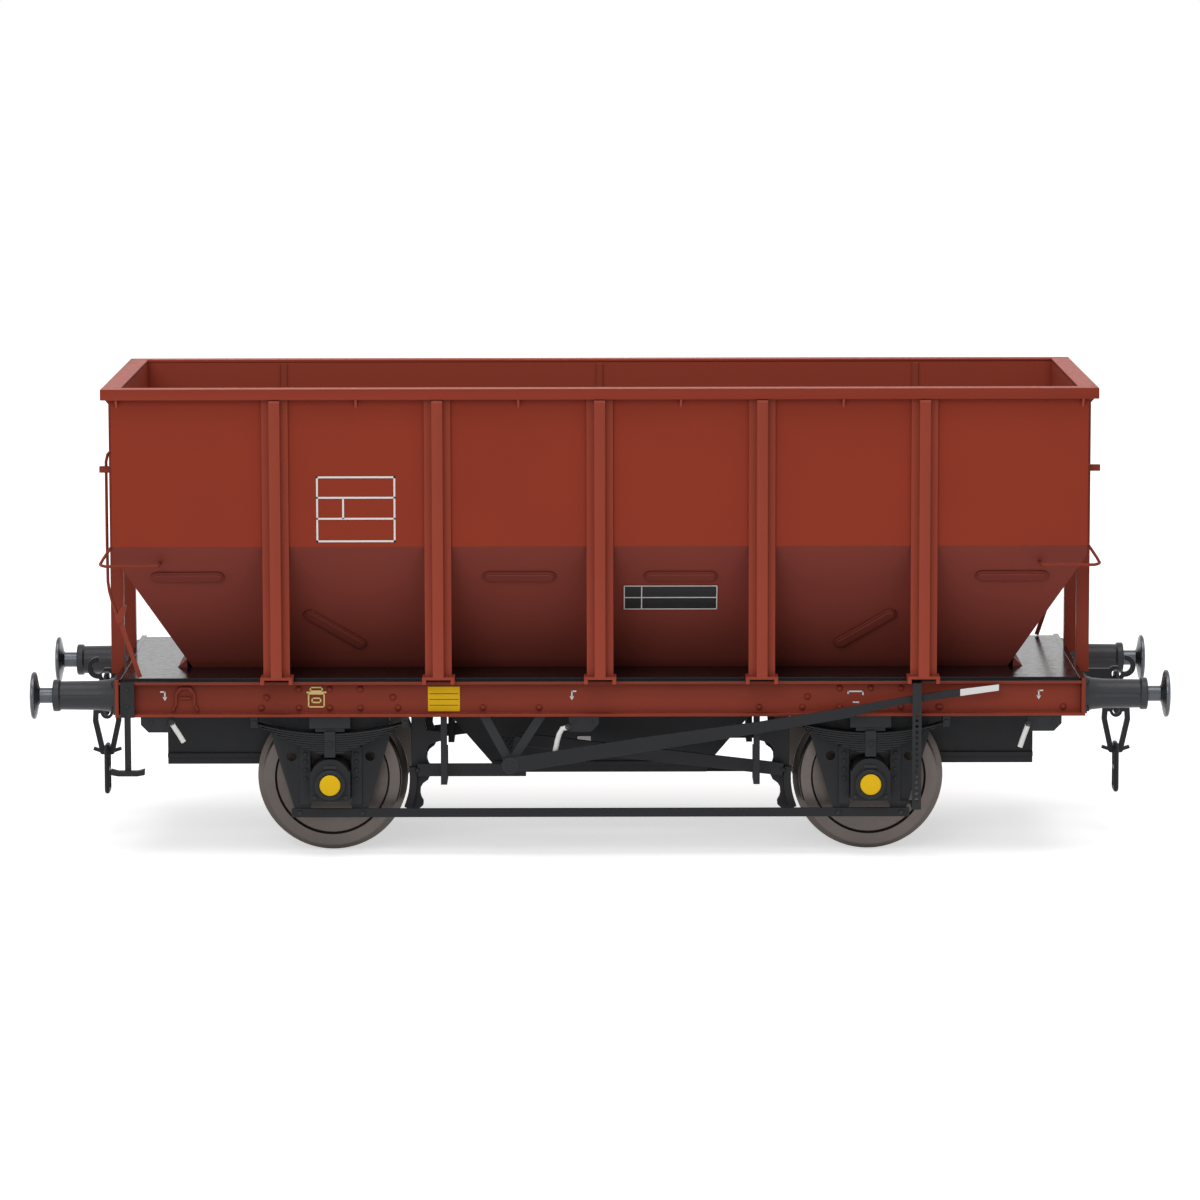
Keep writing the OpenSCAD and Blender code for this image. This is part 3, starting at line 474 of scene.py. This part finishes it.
def add_light():
    world = bpy.data.worlds.new("studio")
    bpy.context.scene.world = world
    bpy.context.scene.view_settings.view_transform = "Standard"
    world.use_nodes = True
    nodes, links = world.node_tree.nodes, world.node_tree.links
    nodes.clear()
    soft = nodes.new("ShaderNodeBackground")
    soft.inputs["Strength"].default_value = SOFT_LIGHT
    white = nodes.new("ShaderNodeBackground")
    white.inputs["Strength"].default_value = 1.0
    for background in (soft, white):
        background.inputs["Color"].default_value = (1, 1, 1, 1)
    choice = nodes.new("ShaderNodeMixShader")
    out = nodes.new("ShaderNodeOutputWorld")
    links.new(background_rays(nodes, links), choice.inputs[0])
    links.new(soft.outputs[0], choice.inputs[1])
    links.new(white.outputs[0], choice.inputs[2])
    links.new(choice.outputs[0], out.inputs[0])

    def area(name, place, target, size, power):
        data = bpy.data.lights.new(name, "AREA")
        data.shape = "DISK"
        data.size = size
        data.energy = power
        lamp = bpy.data.objects.new(name, data)
        bpy.context.scene.collection.objects.link(lamp)
        lamp.location = place
        aim = Vector(target) - Vector(place)
        lamp.rotation_euler = aim.to_track_quat("-Z", "Y").to_euler()

    area("overhead", (0.0, -0.25, 1.1), (0, 0, 0.03), 0.9, 5.2)
    area("front", (-0.35, -1.3, 0.7), (0, 0, 0.04), 0.8, 3.9)


add_camera()
add_floor()
add_light()


# ---------- body ----------
def paint_body():
    for node in ("side_sheet_front", "side_sheet_back", "end_sheet_left", "end_sheet_right"):
        repaint(node, RED)
    # the sloping sheets take the darker copy of the red paint: painted shade
    for node in ("side_slope_front", "side_slope_back", "end_slope_left", "end_slope_right", "saddles",
                 "hopper_skirt"):
        repaint(node, SHADED_SLOPE_RED)
    rounded("top_rim", RIM, 0.12)
    for node, bevel in (("end_posts", 0.12), ("solebar_front", 0.09), ("solebar_back", 0.09),
                        ("headstocks", 0.1)):
        rounded(node, FRAME, bevel)


def side_ribs():
    """Ribs of each side: flange, boxed face with a sloped top, web to the slope and a channel foot."""
    face = RIM_Y - 0.3
    flange = SIDE_Y - 0.5
    foot = FRAME_TOP + 1.1
    foot_in = WEB_Y - 0.6
    slope_y = SIDE_Y + SIDE_RUN * (CREASE_Z - foot)
    ribs = Shape()
    for i in range(-2, 3):
        x = i * RIB_PITCH
        ribs.box((x - 2.05, flange, foot - 0.1), (x + 2.05, SIDE_Y, RIM_LOW))
        ribs.slab([(flange + 0.1, foot - 0.1), (face, foot - 0.1), (face, RIM_LOW - 0.45),
                   (face + 0.3, RIM_LOW - 0.1), (flange + 0.1, RIM_LOW - 0.1)], x - 0.85, x + 0.85)
        ribs.slab([(SIDE_Y - 0.1, foot - 0.1), (SIDE_Y - 0.1, CREASE_Z), (SIDE_Y, CREASE_Z),
                   (slope_y, foot), (slope_y, foot - 0.1)], x - 0.5, x + 0.5)
        ribs.box((x - 2.5, face, foot - 0.4), (x + 2.5, foot_in, foot))
        for side in (-1, 1):
            ribs.box((x + side * 2.2 - 0.3, face, FRAME_TOP), (x + side * 2.2 + 0.3, foot_in, foot - 0.35))
    ribs.repeat(HALF_TURN).piece("side_ribs", RIBS, bevel=0.09,
                                 replaces=["side_ribs_front", "side_ribs_back"])


def rim_gussets():
    """Thin corner plates under the rim, between the ribs and at the ends."""
    plates = Shape()
    thick = 0.18
    tall = 1.3
    for x in (-74.3, -37.5, -12.5, 12.5, 37.5, 74.3):
        plates.slab([(SIDE_Y, RIM_LOW + 0.6), (SIDE_Y, RIM_LOW - tall), (RIM_Y + 0.3, RIM_LOW + 0.1),
                     (RIM_Y + 0.3, RIM_LOW + 0.6)], x - thick, x + thick)
    for y in (-25.6, -8.5, 8.5, 25.6):
        plates.plate([(END_X, RIM_LOW + 0.6), (END_X, RIM_LOW - tall), (RIM_X + 0.3, RIM_LOW + 0.1),
                      (RIM_X + 0.3, RIM_LOW + 0.6)], y - thick, y + thick)
    plates.repeat(HALF_TURN).piece("rim_gussets", RIBS)


def rim_welds():
    """Raised weld beads across the rim's corners."""
    beads = Shape()
    inset = 2.6
    beads.tube([(RIM_X + 0.3, RIM_Y + 0.3, RIM_TOP - 0.1),
                (RIM_X + inset, RIM_Y + inset, RIM_TOP - 0.1)], 0.1, sides=8)
    beads.repeat(ACROSS).repeat(HALF_TURN).piece("rim_welds", RIM)


def inner_strips():
    """Flat cover strips on the inside of the sides."""
    strips = Shape()
    for x in (-51.5, 0.0, 51.5):
        strips.box((x - 0.5, INNER_Y - 0.05, CREASE_Z + 0.5), (x + 0.5, INNER_Y + 0.3, RIM_TOP - 0.6))
    strips.repeat(HALF_TURN).piece("inner_strips", RED, bevel=0.06)


def on_slope(x, drop, lift):
    """A point on the front slope: drop millimetres down it from the crease, lift off it."""
    fall = 1 / math.sqrt(1 + SIDE_RUN * SIDE_RUN)
    return Vector((x, SIDE_Y + drop * SIDE_RUN * fall - lift * fall,
                   CREASE_Z - drop * fall - lift * SIDE_RUN * fall))


def slope_place(depth, lift):
    """Turns (x, drop) outlines into solids on the front slope, lift below the surface to depth above."""
    base = on_slope(0, 0, lift)
    down = on_slope(0, 1, lift) - base
    out = on_slope(0, 0, lift + depth) - base
    return Matrix(((1, down.x, out.x, base.x), (0, down.y, out.y, base.y), (0, down.z, out.z, base.z),
                   (0, 0, 0, 1)))


SLOPE_SCALE = math.sqrt(1 + SIDE_RUN * SIDE_RUN)


def drop_at(z):
    return (CREASE_Z - z) * SLOPE_SCALE


def stiffeners():
    """Pressed ribs on the sloping sides: four level ones and two slanting ones."""
    pressed = Shape()
    width = 2.1
    level = drop_at(44.2)
    runs = [((x - 4.6, level), (x + 4.6, level)) for x in (-63.9, -12.5, 12.5, 63.9)]
    runs += [((side * 45.2, drop_at(37.6)), (side * 37.7, drop_at(32.7))) for side in (-1, 1)]
    for a, b in runs:
        pressed.prism(lozenge(a, b, width), slope_place(0.45, -0.1))
        pressed.prism(lozenge(a, b, width - 0.7), slope_place(0.3, 0.25))
    pressed.repeat(HALF_TURN).piece("pressed_stiffeners", SHADED_SLOPE_RED, bevel=0.16)


paint_body()
side_ribs()
rim_gussets()
rim_welds()
inner_strips()
stiffeners()


# ---------- blank panels and stripes ----------
STICK = 0.05


def marks_on_side():
    """White outlined box with two dividing lines, left blank, on both sides."""
    x0, x1, z0, z1, line = -43.7, -31.5, 50.0, 60.2, 0.28
    face = SIDE_Y
    lines = Shape()
    for z in (z0, 53.5, 56.75, z1 - line):
        lines.box((x0, face - STICK, z), (x1, face + STICK, z + line))
    for x in (x0, x1 - line):
        lines.box((x, face - STICK, z0), (x + line, face + STICK, z1))
    lines.box((-39.7, face - STICK, 53.6), (-39.7 + line, face + STICK, 56.8))
    lines.repeat(HALF_TURN).piece("white_box_lines", WHITE)


def marks_on_slope():
    """Blank black panel with a thin white border on the sloping side."""
    x0, x1 = 3.7, 18.25
    d0, d1 = drop_at(42.6), drop_at(38.5)
    line = 0.16
    board = Shape()
    board.prism([(x0, d0), (x1, d0), (x1, d1), (x0, d1)], slope_place(0.12, -0.04))
    board.repeat(HALF_TURN).piece("black_panel", PANEL)
    lines = Shape()
    middle = (d0 + d1) / 2
    for d in (d0, middle - line / 2, d1 - line):
        lines.prism([(x0, d), (x1, d), (x1, d + line), (x0, d + line)], slope_place(0.08, 0.05))
    for x in (x0, x0 + 2.7, x1 - line):
        lines.prism([(x, d0), (x + line, d0), (x + line, d1), (x, d1)], slope_place(0.08, 0.05))
    lines.repeat(HALF_TURN).piece("black_panel_lines", WHITE)


def marks_on_solebar():
    """Blank yellow labels, small arrows and a hook mark on the solebars."""
    face = WEB_Y
    yellow = Shape()
    yellow.box((-26.75, face - 0.09, 23.2), (-21.8, face + 0.05, 27.05))
    yellow.repeat(HALF_TURN).piece("yellow_panel", YELLOW)
    rules = Shape()
    for z in (24.1, 25.0, 25.9):
        rules.box((-26.5, face - 0.12, z), (-22.05, face - 0.05, z + 0.1))
    rules.repeat(HALF_TURN).piece("yellow_panel_rules", PANEL)
    holder = Shape()
    line = 0.24
    for x0, x1, z0, z1 in ((-45.4, -42.75, 23.8, 26.1), (-45.1, -43.05, 26.3, 27.1),
                           (-44.85, -43.3, 24.5, 25.4)):
        for x in (x0, x1 - line):
            holder.box((x, face - 0.16, z0), (x + line, face + 0.05, z1))
        for z in (z0, z1 - line):
            holder.box((x0, face - 0.16, z), (x1, face + 0.05, z + line))
    holder.box((-45.6, face - 0.16, 26.05), (-42.5, face + 0.05, 26.35))
    holder.repeat(HALF_TURN).piece("label_holder", STRAW, bevel=0.04)
    white = Shape()
    for x, side in ((-67.8, 1), (-4.2, -1), (68.3, -1)):
        tail, stem, flare = x - side * 0.5, x + side * 0.2, 0.35
        for outline in (strip_outline((tail, 26.3), (stem + side * 0.05, 26.3), 0.22),
                        strip_outline((stem, 26.4), (stem, 25.4), 0.22),
                        [(stem - flare, 25.5), (stem + flare, 25.5), (stem, 24.9)]):
            white.plate(outline, face - 0.09, face + 0.05)
    for a, b in (((38.4, 26.2), (40.9, 26.2)), ((40.8, 26.3), (40.8, 25.6)), ((38.5, 26.3), (38.5, 25.8)),
                 ((39.2, 24.5), (40.2, 24.5))):
        white.plate(strip_outline(a, b, 0.22), face - 0.09, face + 0.05)
    white.repeat(HALF_TURN).piece("white_marks", WHITE)
    chute_face = low("chute_middle")[1]
    plate = Shape()
    plate.box((-3.6, chute_face - 0.15, 16.35), (-1.5, chute_face + 0.05, 17.15))
    plate.repeat(HALF_TURN).piece("chute_label", WHITE)


marks_on_side()
marks_on_slope()
marks_on_solebar()


# ---------- solebars ----------
def solebar_rivets():
    heads = Shape()
    rows = (26.7, 25.4, 23.75)
    # offset from the axle, row
    group = ((-10.6, 2), (-9.8, 1), (-4.8, 0), (-4.8, 2), (0, 0), (0, 2), (4.75, 0), (4.75, 2), (9.8, 1),
             (10.6, 2))
    spots = [(axle + offset, rows[row]) for axle in (-AXLE_X, AXLE_X) for offset, row in group]
    spots += [(-18.2, rows[2]), (-9.5, rows[2]), (24.7, rows[2]), (52.8, rows[2]), (71.9, rows[2])]
    for x, z in spots:
        heads.bolt((x, WEB_Y, z), (0, -1, 0), 0.52, 0.42)
    heads.repeat(HALF_TURN).piece("solebar_rivets", FRAME)


def arch_plate():
    """Raised arch with spread feet beside the corner."""
    x, low_z, line, lift = -64.42, 23.3, 0.4, 0.45
    half = [(2.05, 0.0), (1.95, 0.6), (1.62, 1.0), (1.62, 2.6), (1.15, 3.5), (0.8, 3.8)]
    arch = Shape()
    outer = [(x + w, low_z + h) for w, h in half] + [(x - w, low_z + h) for w, h in reversed(half)]
    inner = [(x - w + line, low_z + h - line * (h > 3)) for w, h in half]
    inner += [(x + w - line, low_z + h - line * (h > 3)) for w, h in reversed(half)]
    arch.plate(outer + inner, WEB_Y - lift, WEB_Y + 0.05)
    arch.box((x - 0.8, WEB_Y - lift, low_z + 1.9), (x + 0.8, WEB_Y + 0.05, low_z + 2.2))
    arch.repeat(HALF_TURN).piece("solebar_arch", FRAME, bevel=0.07)


def deck_edges():
    """Black edges of the deck along the tops of the solebars and headstocks."""
    edge = Shape()
    edge.box((FRAME_X + 0.05, FRAME_Y + 0.04, FRAME_TOP - 0.06),
             (-FRAME_X - 0.05, WEB_Y + 0.5, FRAME_TOP + 0.06))
    edge.box((STOCK_X + 0.04, FRAME_Y + 0.1, DECK_TOP - 0.04),
             (FRAME_X + 0.3, -FRAME_Y - 0.1, DECK_TOP + 0.05))
    edge.repeat(HALF_TURN).piece("deck_edges", DECK, bevel=0.03)


solebar_rivets()
arch_plate()
deck_edges()


# ---------- deck, chutes and underframe ----------
def paint_underframe():
    for node in ("deck_sides", "deck_ends", "deck_bridges"):
        repaint(node, DECK)
    for node, bevel in (("chute_left", 0.12), ("chute_middle", 0.12), ("chute_right", 0.12),
                        ("chute_doors", 0.1), ("cross_bearers", 0.1), ("axleguards", 0.08),
                        ("drawhooks", 0.12), ("v_hangers", 0.08), ("door_brackets", 0.08)):
        rounded(node, BLACK, bevel)
    for node, bevel in (("axleboxes", 0.15), ("tie_bars", 0.1), ("brake_levers", 0.08),
                        ("push_rods", 0.08), ("safety_straps", 0.06), ("corner_steps", 0.06),
                        ("lever_guides", 0.0)):
        rounded(node, GEAR, bevel)


def brake_blocks():
    """Lobed hangers with the brake blocks on them, and the pins of the push rods."""
    y0, y1 = low("brake_shoes")[1], low("brake_shoes")[1] + 2.2
    middle = (y0 + y1) / 2 + 0.4
    shank = [(12.4, 22.5), (12.4, 12.3), (12.25, 10.5), (11.9, 8.7), (11.45, 7.1), (12.2, 6.8), (13.7, 6.9),
             (14.25, 7.4), (14.3, 8.1), (13.95, 8.7), (13.8, 9.3), (13.85, 10.2), (14.2, 10.8), (15.0, 11.4),
             (15.4, 12.2), (15.3, 13.7), (15.0, 14.4), (14.7, 15.2), (14.8, 16.2), (15.4, 17.1), (17.6, 17.7),
             (17.6, 19.0), (14.8, 19.3), (14.6, 20.4), (14.7, 22.5)]
    block = arc((0, AXLE_Z), 12.15, -22, 8, 8) + arc((0, AXLE_Z), 13.3, 8, -22, 8)
    hangers = Shape()
    for side in (-1, 1):
        hangers.plate([(side * (AXLE_X - x), z) for x, z in shank], middle - 0.45, middle + 0.45)
        hangers.plate([(side * (AXLE_X - x), z) for x, z in block], y0, y1)
        hangers.lathe([(0, 0), (0.6, 0), (0.6, 1.9), (0, 1.9)], (side * (AXLE_X - 14.0), middle, 13.2),
                      (0, -1, 0), 16)
    hangers.repeat(HALF_TURN).piece("brake_blocks", BLACK, bevel=0.1, replaces=["brake_shoes"])


def chute_rivets():
    heads = Shape()
    face = low("chute_middle")[1]
    for row in range(4):
        for column in range(4 - row % 2):
            heads.bolt((-15.2 + column * 0.75 + row * 0.4, face, 16.8 - row * 0.55), (0, -1, 0), 0.2, 0.14)
    heads.repeat(HALF_TURN).piece("chute_rivets", BLACK)


MIDDLE_CHUTE_FOOT = 16.8  # half the length of the middle chute's lower edge


def chute_frames():
    """Flanges along the lower edges of the chutes."""
    bars = Shape()
    face = low("chute_left")[1]
    for node in ("chute_left", "chute_right", "chute_middle"):
        x0, x1, z = low(node)[0], high(node)[0], low(node)[2]
        if node == "chute_middle":
            x0, x1 = -MIDDLE_CHUTE_FOOT, MIDDLE_CHUTE_FOOT
        bars.box((x0 - 0.01, face - 0.5, z), (x1 + 0.01, face + 0.05, z + 0.7))
    bars.repeat(HALF_TURN).piece("chute_frames", BLACK, bevel=0.06)


def guard_strips():
    """Bolted guide strips beside the axleboxes and bolts along the guards' feet."""
    strips = Shape()
    bolts = Shape()
    for axle in (-AXLE_X, AXLE_X):
        for side in (-1, 1):
            x = axle + side * 4.0
            strips.box((x - 0.85, GUARD_Y - 0.45, 8.2), (x + 0.85, GUARD_Y + 0.05, 17.4))
            for z in (16.2, 15.0, 13.7, 12.3):
                bolts.nut((x, GUARD_Y - 0.45, z), (0, -1, 0), 0.36, 0.28)
            bolts.nut((axle + side * 4.9, GUARD_Y - 0.5, 6.9), (0, -1, 0), 0.4, 0.3)
    strips.repeat(HALF_TURN).piece("guard_strips", BLACK, bevel=0.08)
    bolts.repeat(HALF_TURN).piece("guard_bolts", BLACK)


def axlebox_caps():
    caps = Shape()
    rings = Shape()
    rims = Shape()
    face = low("axleboxes")[1]
    for axle in (-AXLE_X, AXLE_X):
        caps.lathe([(0.0, -0.1), (1.62, -0.1), (1.62, 0.12), (1.5, 0.22), (0.9, 0.3), (0, 0.34)],
                   (axle, face, AXLE_Z), (0, -1, 0), 40)
        rings.lathe([(1.66, -0.35), (2.35, -0.35), (2.35, 0.0), (2.15, 0.14), (1.8, 0.14), (1.66, 0.02),
                     (1.66, -0.35)], (axle, face, AXLE_Z), (0, -1, 0), 40)
        for angle in (45, 135, 225, 315):
            x = axle + 2.0 * math.cos(math.radians(angle))
            z = AXLE_Z + 2.0 * math.sin(math.radians(angle))
            rims.nut((x, face, z), (0, -1, 0), 0.26, 0.22)
        for side in (-1, 1):
            rims.nut((axle + side * 2.4, face + 0.7, AXLE_Z - 2.0), (0, -1, 0), 0.35, 0.3)
        rims.box((axle - 1.0, face + 0.45, AXLE_Z + 2.5), (axle + 1.0, face + 0.9, AXLE_Z + 3.0))
    caps.repeat(HALF_TURN).piece("axlebox_caps", YELLOW)
    rings.repeat(HALF_TURN).piece("axlebox_rings", BLACK)
    rims.repeat(HALF_TURN).piece("axlebox_bolts", BLACK)


def springs():
    """Separate leaves with tapered ends, a buckle and the shoes at their ends."""
    y0, y1 = -25.0, -22.4
    count, pitch, thick = 9, 0.35, 0.29
    half, sag = 11.8, 1.7
    top = FRAME_LOW - 1 - sag
    leaves = Shape()
    fittings = Shape()
    radius = (half * half + sag * sag) / (2 * sag)
    for axle in (-AXLE_X, AXLE_X):
        for i in range(count):
            reach = half * (1 - 0.8 * i / (count - 1))
            steps = 12
            line = []
            for k in range(steps + 1):
                x = -reach + 2 * reach * k / steps
                line.append((x, top - i * pitch + radius - math.sqrt(radius * radius - x * x)))
            under = [(x * 0.985, z - (thick if abs(x) < reach * 0.93 else thick * 0.45)) for x, z in line]
            outline = [(axle + x, z) for x, z in line + under[::-1]]
            leaves.plate(outline, y0, y1)
        low_z = top - (count - 1) * pitch - thick
        fittings.box((axle - 0.85, y0 - 0.22, low_z - 0.6), (axle + 0.85, y1 + 0.22, top + 0.35))
        fittings.lathe([(0, 0), (0.5, 0), (0.5, 0.25), (0, 0.25)], (axle, y0 - 0.2, top - 1.6),
                       (0, -1, 0), 16)
        for side in (-1, 1):
            x = axle + side * (half - 0.1)
            fittings.box((x - 0.55, y0 - 0.1, FRAME_LOW - 1.7), (x + 0.55, y1 + 0.1, FRAME_LOW))
            fittings.lathe([(0, 0), (0.42, 0), (0.42, 0.3), (0, 0.3)], (x, y0 - 0.05, FRAME_LOW - 0.95),
                           (0, -1, 0), 14)
        fittings.box((axle - 3.2, y0 + 0.2, FRAME_LOW - 1.9), (axle + 3.2, y1, FRAME_LOW))
        fittings.box((axle - 2.3, y0 + 0.4, FRAME_LOW - 2.5), (axle + 2.3, y1, FRAME_LOW - 1.8))
    leaves.repeat(HALF_TURN).piece("spring_leaves", BLACK, bevel=0.04, replaces=["leaf_springs"])
    fittings.repeat(HALF_TURN).piece("spring_fittings", BLACK, bevel=0.08)


paint_underframe()
brake_blocks()
chute_rivets()
chute_frames()
guard_strips()
axlebox_caps()
springs()
for wheelset in ("wheelset_left", "wheelset_right"):
    repaint(wheelset, WHEEL)


# ---------- buffers ----------
def buffer_housings():
    """Turned housings with side ribs, on bolted base plates."""
    housing = Shape()
    nuts = Shape()
    end = low("buffer_housings")[0]
    reach = STOCK_X - end
    for y in (BUFFER_Y, -BUFFER_Y):
        profile = [(1.3, reach - 3.0), (1.3, reach), (2.35, reach), (2.5, reach - 0.15), (2.5, reach - 0.95),
                   (2.35, reach - 1.1), (2.22, reach - 1.2), (2.3, 3.2), (2.5, 1.4), (2.75, 0.6), (2.75, 0.3),
                   (0.01, 0.3)]
        housing.lathe(profile, (STOCK_X, y, BUFFER_Z), (-1, 0, 0), 40)
        housing.box((STOCK_X - 0.5, y - 2.9, BUFFER_Z - 2.7), (STOCK_X, y + 2.9, BUFFER_Z + 2.9))
        for side in (-1, 1):
            housing.slab([(y + side * 2.0, BUFFER_Z - 0.2), (y + side * 2.45, BUFFER_Z - 0.2),
                          (y + side * 2.45, BUFFER_Z + 0.2), (y + side * 2.0, BUFFER_Z + 0.2)],
                         end + 1.3, STOCK_X - 0.4)
            for up in (-1, 1):
                nuts.nut((STOCK_X - 0.5, y + side * 2.35, BUFFER_Z + 0.1 + up * 2.2), (-1, 0, 0), 0.38, 0.35)
    housing.repeat(HALF_TURN).piece("buffer_housings_turned", CAST, bevel=0.05,
                                    replaces=["buffer_housings"])
    nuts.repeat(HALF_TURN).piece("buffer_nuts", BLACK)


def buffer_heads():
    """Round heads with a soft dome, on plain shanks."""
    for end, side in (("left", -1), ("right", 1)):
        for name, y in (("front", BUFFER_Y), ("back", -BUFFER_Y)):
            node = "buffer_%s_%s" % (end, name)
            tip = low(node)[0] if side < 0 else high(node)[0]
            tail = high(node)[0] if side < 0 else low(node)[0]
            reach = abs(tip - tail)
            head = Shape()
            head.lathe([(0, 0), (1.1, 0), (1.2, 0.15), (1.2, reach - 1.55), (1.5, reach - 1.35),
                        (3.2, reach - 1.0), (3.62, reach - 0.85), (3.7, reach - 0.65),
                        (3.66, reach - 0.42), (3.45, reach - 0.25), (2.6, reach - 0.12),
                        (1.3, reach - 0.02), (0, reach)], (tail, y, BUFFER_Z), (side, 0, 0), 56)
            head.piece(node + "_turned", STEEL, node, replaces=[node])


# ---------- couplings ----------
def ring_path(half, z0, z1, bend, x):
    """A closed loop in Y and Z with round corners."""
    points = []
    for (cy, cz, start) in ((half - bend, z0 - bend, 0), (-half + bend, z0 - bend, 90),
                            (-half + bend, z1 + bend, 180), (half - bend, z1 + bend, 270)):
        points += [(x, y, z) for y, z in arc((cy, cz), bend, start, start + 90, 5)]
    return points


def couplings():
    for end, side in (("left", -1), ("right", 1)):
        x = (low("shackle_" + end)[0] + high("shackle_" + end)[0]) / 2
        for name, bend in (("shackle_", 0.75), ("end_link_", 0.6)):
            node = name + end
            radius = (high(node)[0] - low(node)[0]) / 2
            link = Shape()
            path = ring_path(high(node)[1] - radius, high(node)[2] - radius, low(node)[2] + radius, bend, x)
            link.tube(path, radius, closed=True, sides=14)
            if name == "end_link_":
                middle = (high(node)[2] + low(node)[2]) / 2
                link.box((x - radius, -1.6, middle - 0.25), (x + radius, 1.6, middle + 0.25))
            link.piece(node + "_round", BLACK, node, replaces=[node])
        repaint("screw_link_" + end, BLACK)


buffer_housings()
buffer_heads()
couplings()


# ---------- rails, levers and small fittings ----------
def corner_rails():
    """Round rails: uprights that bend down to the deck at two corners, one round each corner, lugs."""
    radius = 0.24
    rail_x = END_X - 1.1
    rail_y = SIDE_Y + 3.4
    top = RIM_LOW - 9
    uprights = Shape()
    upright = [(END_X + 0.1, top + 0.75), (END_X - 0.45, top + 0.65), (END_X - 0.85, top + 0.2),
               (rail_x, top - 0.9), (rail_x, 49.0), (rail_x + 0.05, 43.5), (rail_x + 0.25, 42.0),
               (rail_x + 0.7, 40.3), (rail_x + 1.2, 39.0), (rail_x + 1.8, 37.6)]
    uprights.tube([(x, rail_y, z) for x, z in upright], radius)
    stay_foot = (-71.5, DECK_TOP + 0.15)
    uprights.plate(strip_outline((rail_x + 1.5, 38.4), stay_foot, 0.66), rail_y - 0.25, rail_y + 0.25)
    uprights.plate([(rail_x + 1.0, 38.0), (rail_x + 2.3, 39.6), (rail_x + 2.9, 39.9),
                    (rail_x + 2.7, 38.9), (rail_x + 2.2, 37.2), (rail_x + 1.5, 36.9)],
                   rail_y - 0.45, rail_y + 0.2)
    uprights.repeat(HALF_TURN).piece("upright_rails", FRAME, replaces=["end_stays"])
    wrap_z = CREASE_Z - 1.7 - 1.4 + 0.25
    wrap_x = rail_x - 0.75
    wrap_y = SIDE_Y - 1.35
    rails = Shape()
    bend = 0.9
    corner = [(wrap_x + bend - bend * math.sin(a), wrap_y + bend - bend * math.cos(a),
               wrap_z + 0.25 * k / 6) for k, a in ((k, math.pi / 2 * k / 6) for k in range(7))]
    rails.tube([(END_X + 7.2, SIDE_Y + 1.9, wrap_z), (END_X + 7.2, wrap_y + 0.5, wrap_z),
                (END_X + 7.05, wrap_y + 0.15, wrap_z), (END_X + 6.65, wrap_y, wrap_z)] + corner +
               [(wrap_x + 0.35, SIDE_Y + 0.3, wrap_z + 0.9), (END_X - 0.55, SIDE_Y + 0.75, wrap_z + 2.3),
                (END_X - 0.2, SIDE_Y + 0.9, wrap_z + 2.8), (END_X + 0.1, SIDE_Y + 0.95, wrap_z + 2.9)],
               radius)
    rails.box((END_X - 2.15, rail_y - 0.4, top - 2.6), (END_X, rail_y + 0.4, top - 1.6))
    rails.repeat(ACROSS).repeat(HALF_TURN).piece("corner_rails", FRAME, bevel=0.1, replaces=["handrails"])


def lever_fittings():
    """White end of the brake lever, its shaft's nut, the push rods' pins and the frame's small nuts."""
    face = low("brake_levers")[1]
    tip = Shape()
    tip.plate([(55.7, 26.95), (61.7, 27.68), (61.7, 26.72), (55.7, 25.88)], face - 0.04, face + 0.64)
    tip.repeat(HALF_TURN).piece("lever_tips", WHITE, bevel=0.05)
    bolts = Shape()
    shaft_x, shaft_z = -14, 15.1
    pin_x, pin_z = 28.6, 13.2
    bolts.nut((shaft_x, face, shaft_z), (0, -1, 0), 0.8, 0.35)
    bolts.lathe([(0, 0), (1.25, 0), (1.25, 0.12), (0, 0.12)], (shaft_x, face + 0.05, shaft_z), (0, -1, 0), 28)
    for x in (-pin_x, pin_x):
        bolts.bolt((x, -19.5, pin_z), (0, -1, 0), 0.42, 0.3)
    for z in (24.2, 26.9):
        bolts.nut((-73.3, -25.8, z), (0, -1, 0), 0.32, 0.25)
    for x in (-69.6, -67.4, -3.8, -1.4, 67.4, 70.3):
        bolts.nut((x, -25.3, 21.7), (0, -1, 0), 0.26, 0.22)
    bolts.repeat(HALF_TURN).piece("gear_bolts", BLACK)


def door_handles():
    """White handles on short black pins."""
    pins = Shape()
    handles = Shape()
    y = low("door_levers")[1] + 0.42
    for path in (((-66.45, 21.7), (-66.1, 21.1), (-65.5, 20.2), (-64.6, 18.7)),
                 ((-5.0, 20.9), (-5.9, 20.7), (-6.35, 19.9), (-6.65, 18.9), (-7.0, 17.2)),
                 ((66.35, 21.3), (65.95, 20.2), (65.55, 19.1), (65.1, 17.7))):
        x, z = path[0]
        pins.lathe([(0, 0), (0.45, 0), (0.45, 1.2), (0, 1.2)], (x, FRAME_Y + 0.4, z + 0.1), (0, -1, 0), 14)
        handles.tube([(x, y, z) for x, z in path], 0.4, sides=14)
    pins.repeat(HALF_TURN).piece("door_lever_pins", BLACK)
    handles.repeat(HALF_TURN).piece("door_lever_handles", WHITE, replaces=["door_levers"])


corner_rails()
lever_fittings()
door_handles()

# ---------- final update of the view layer ---
bpy.context.view_layer.update()
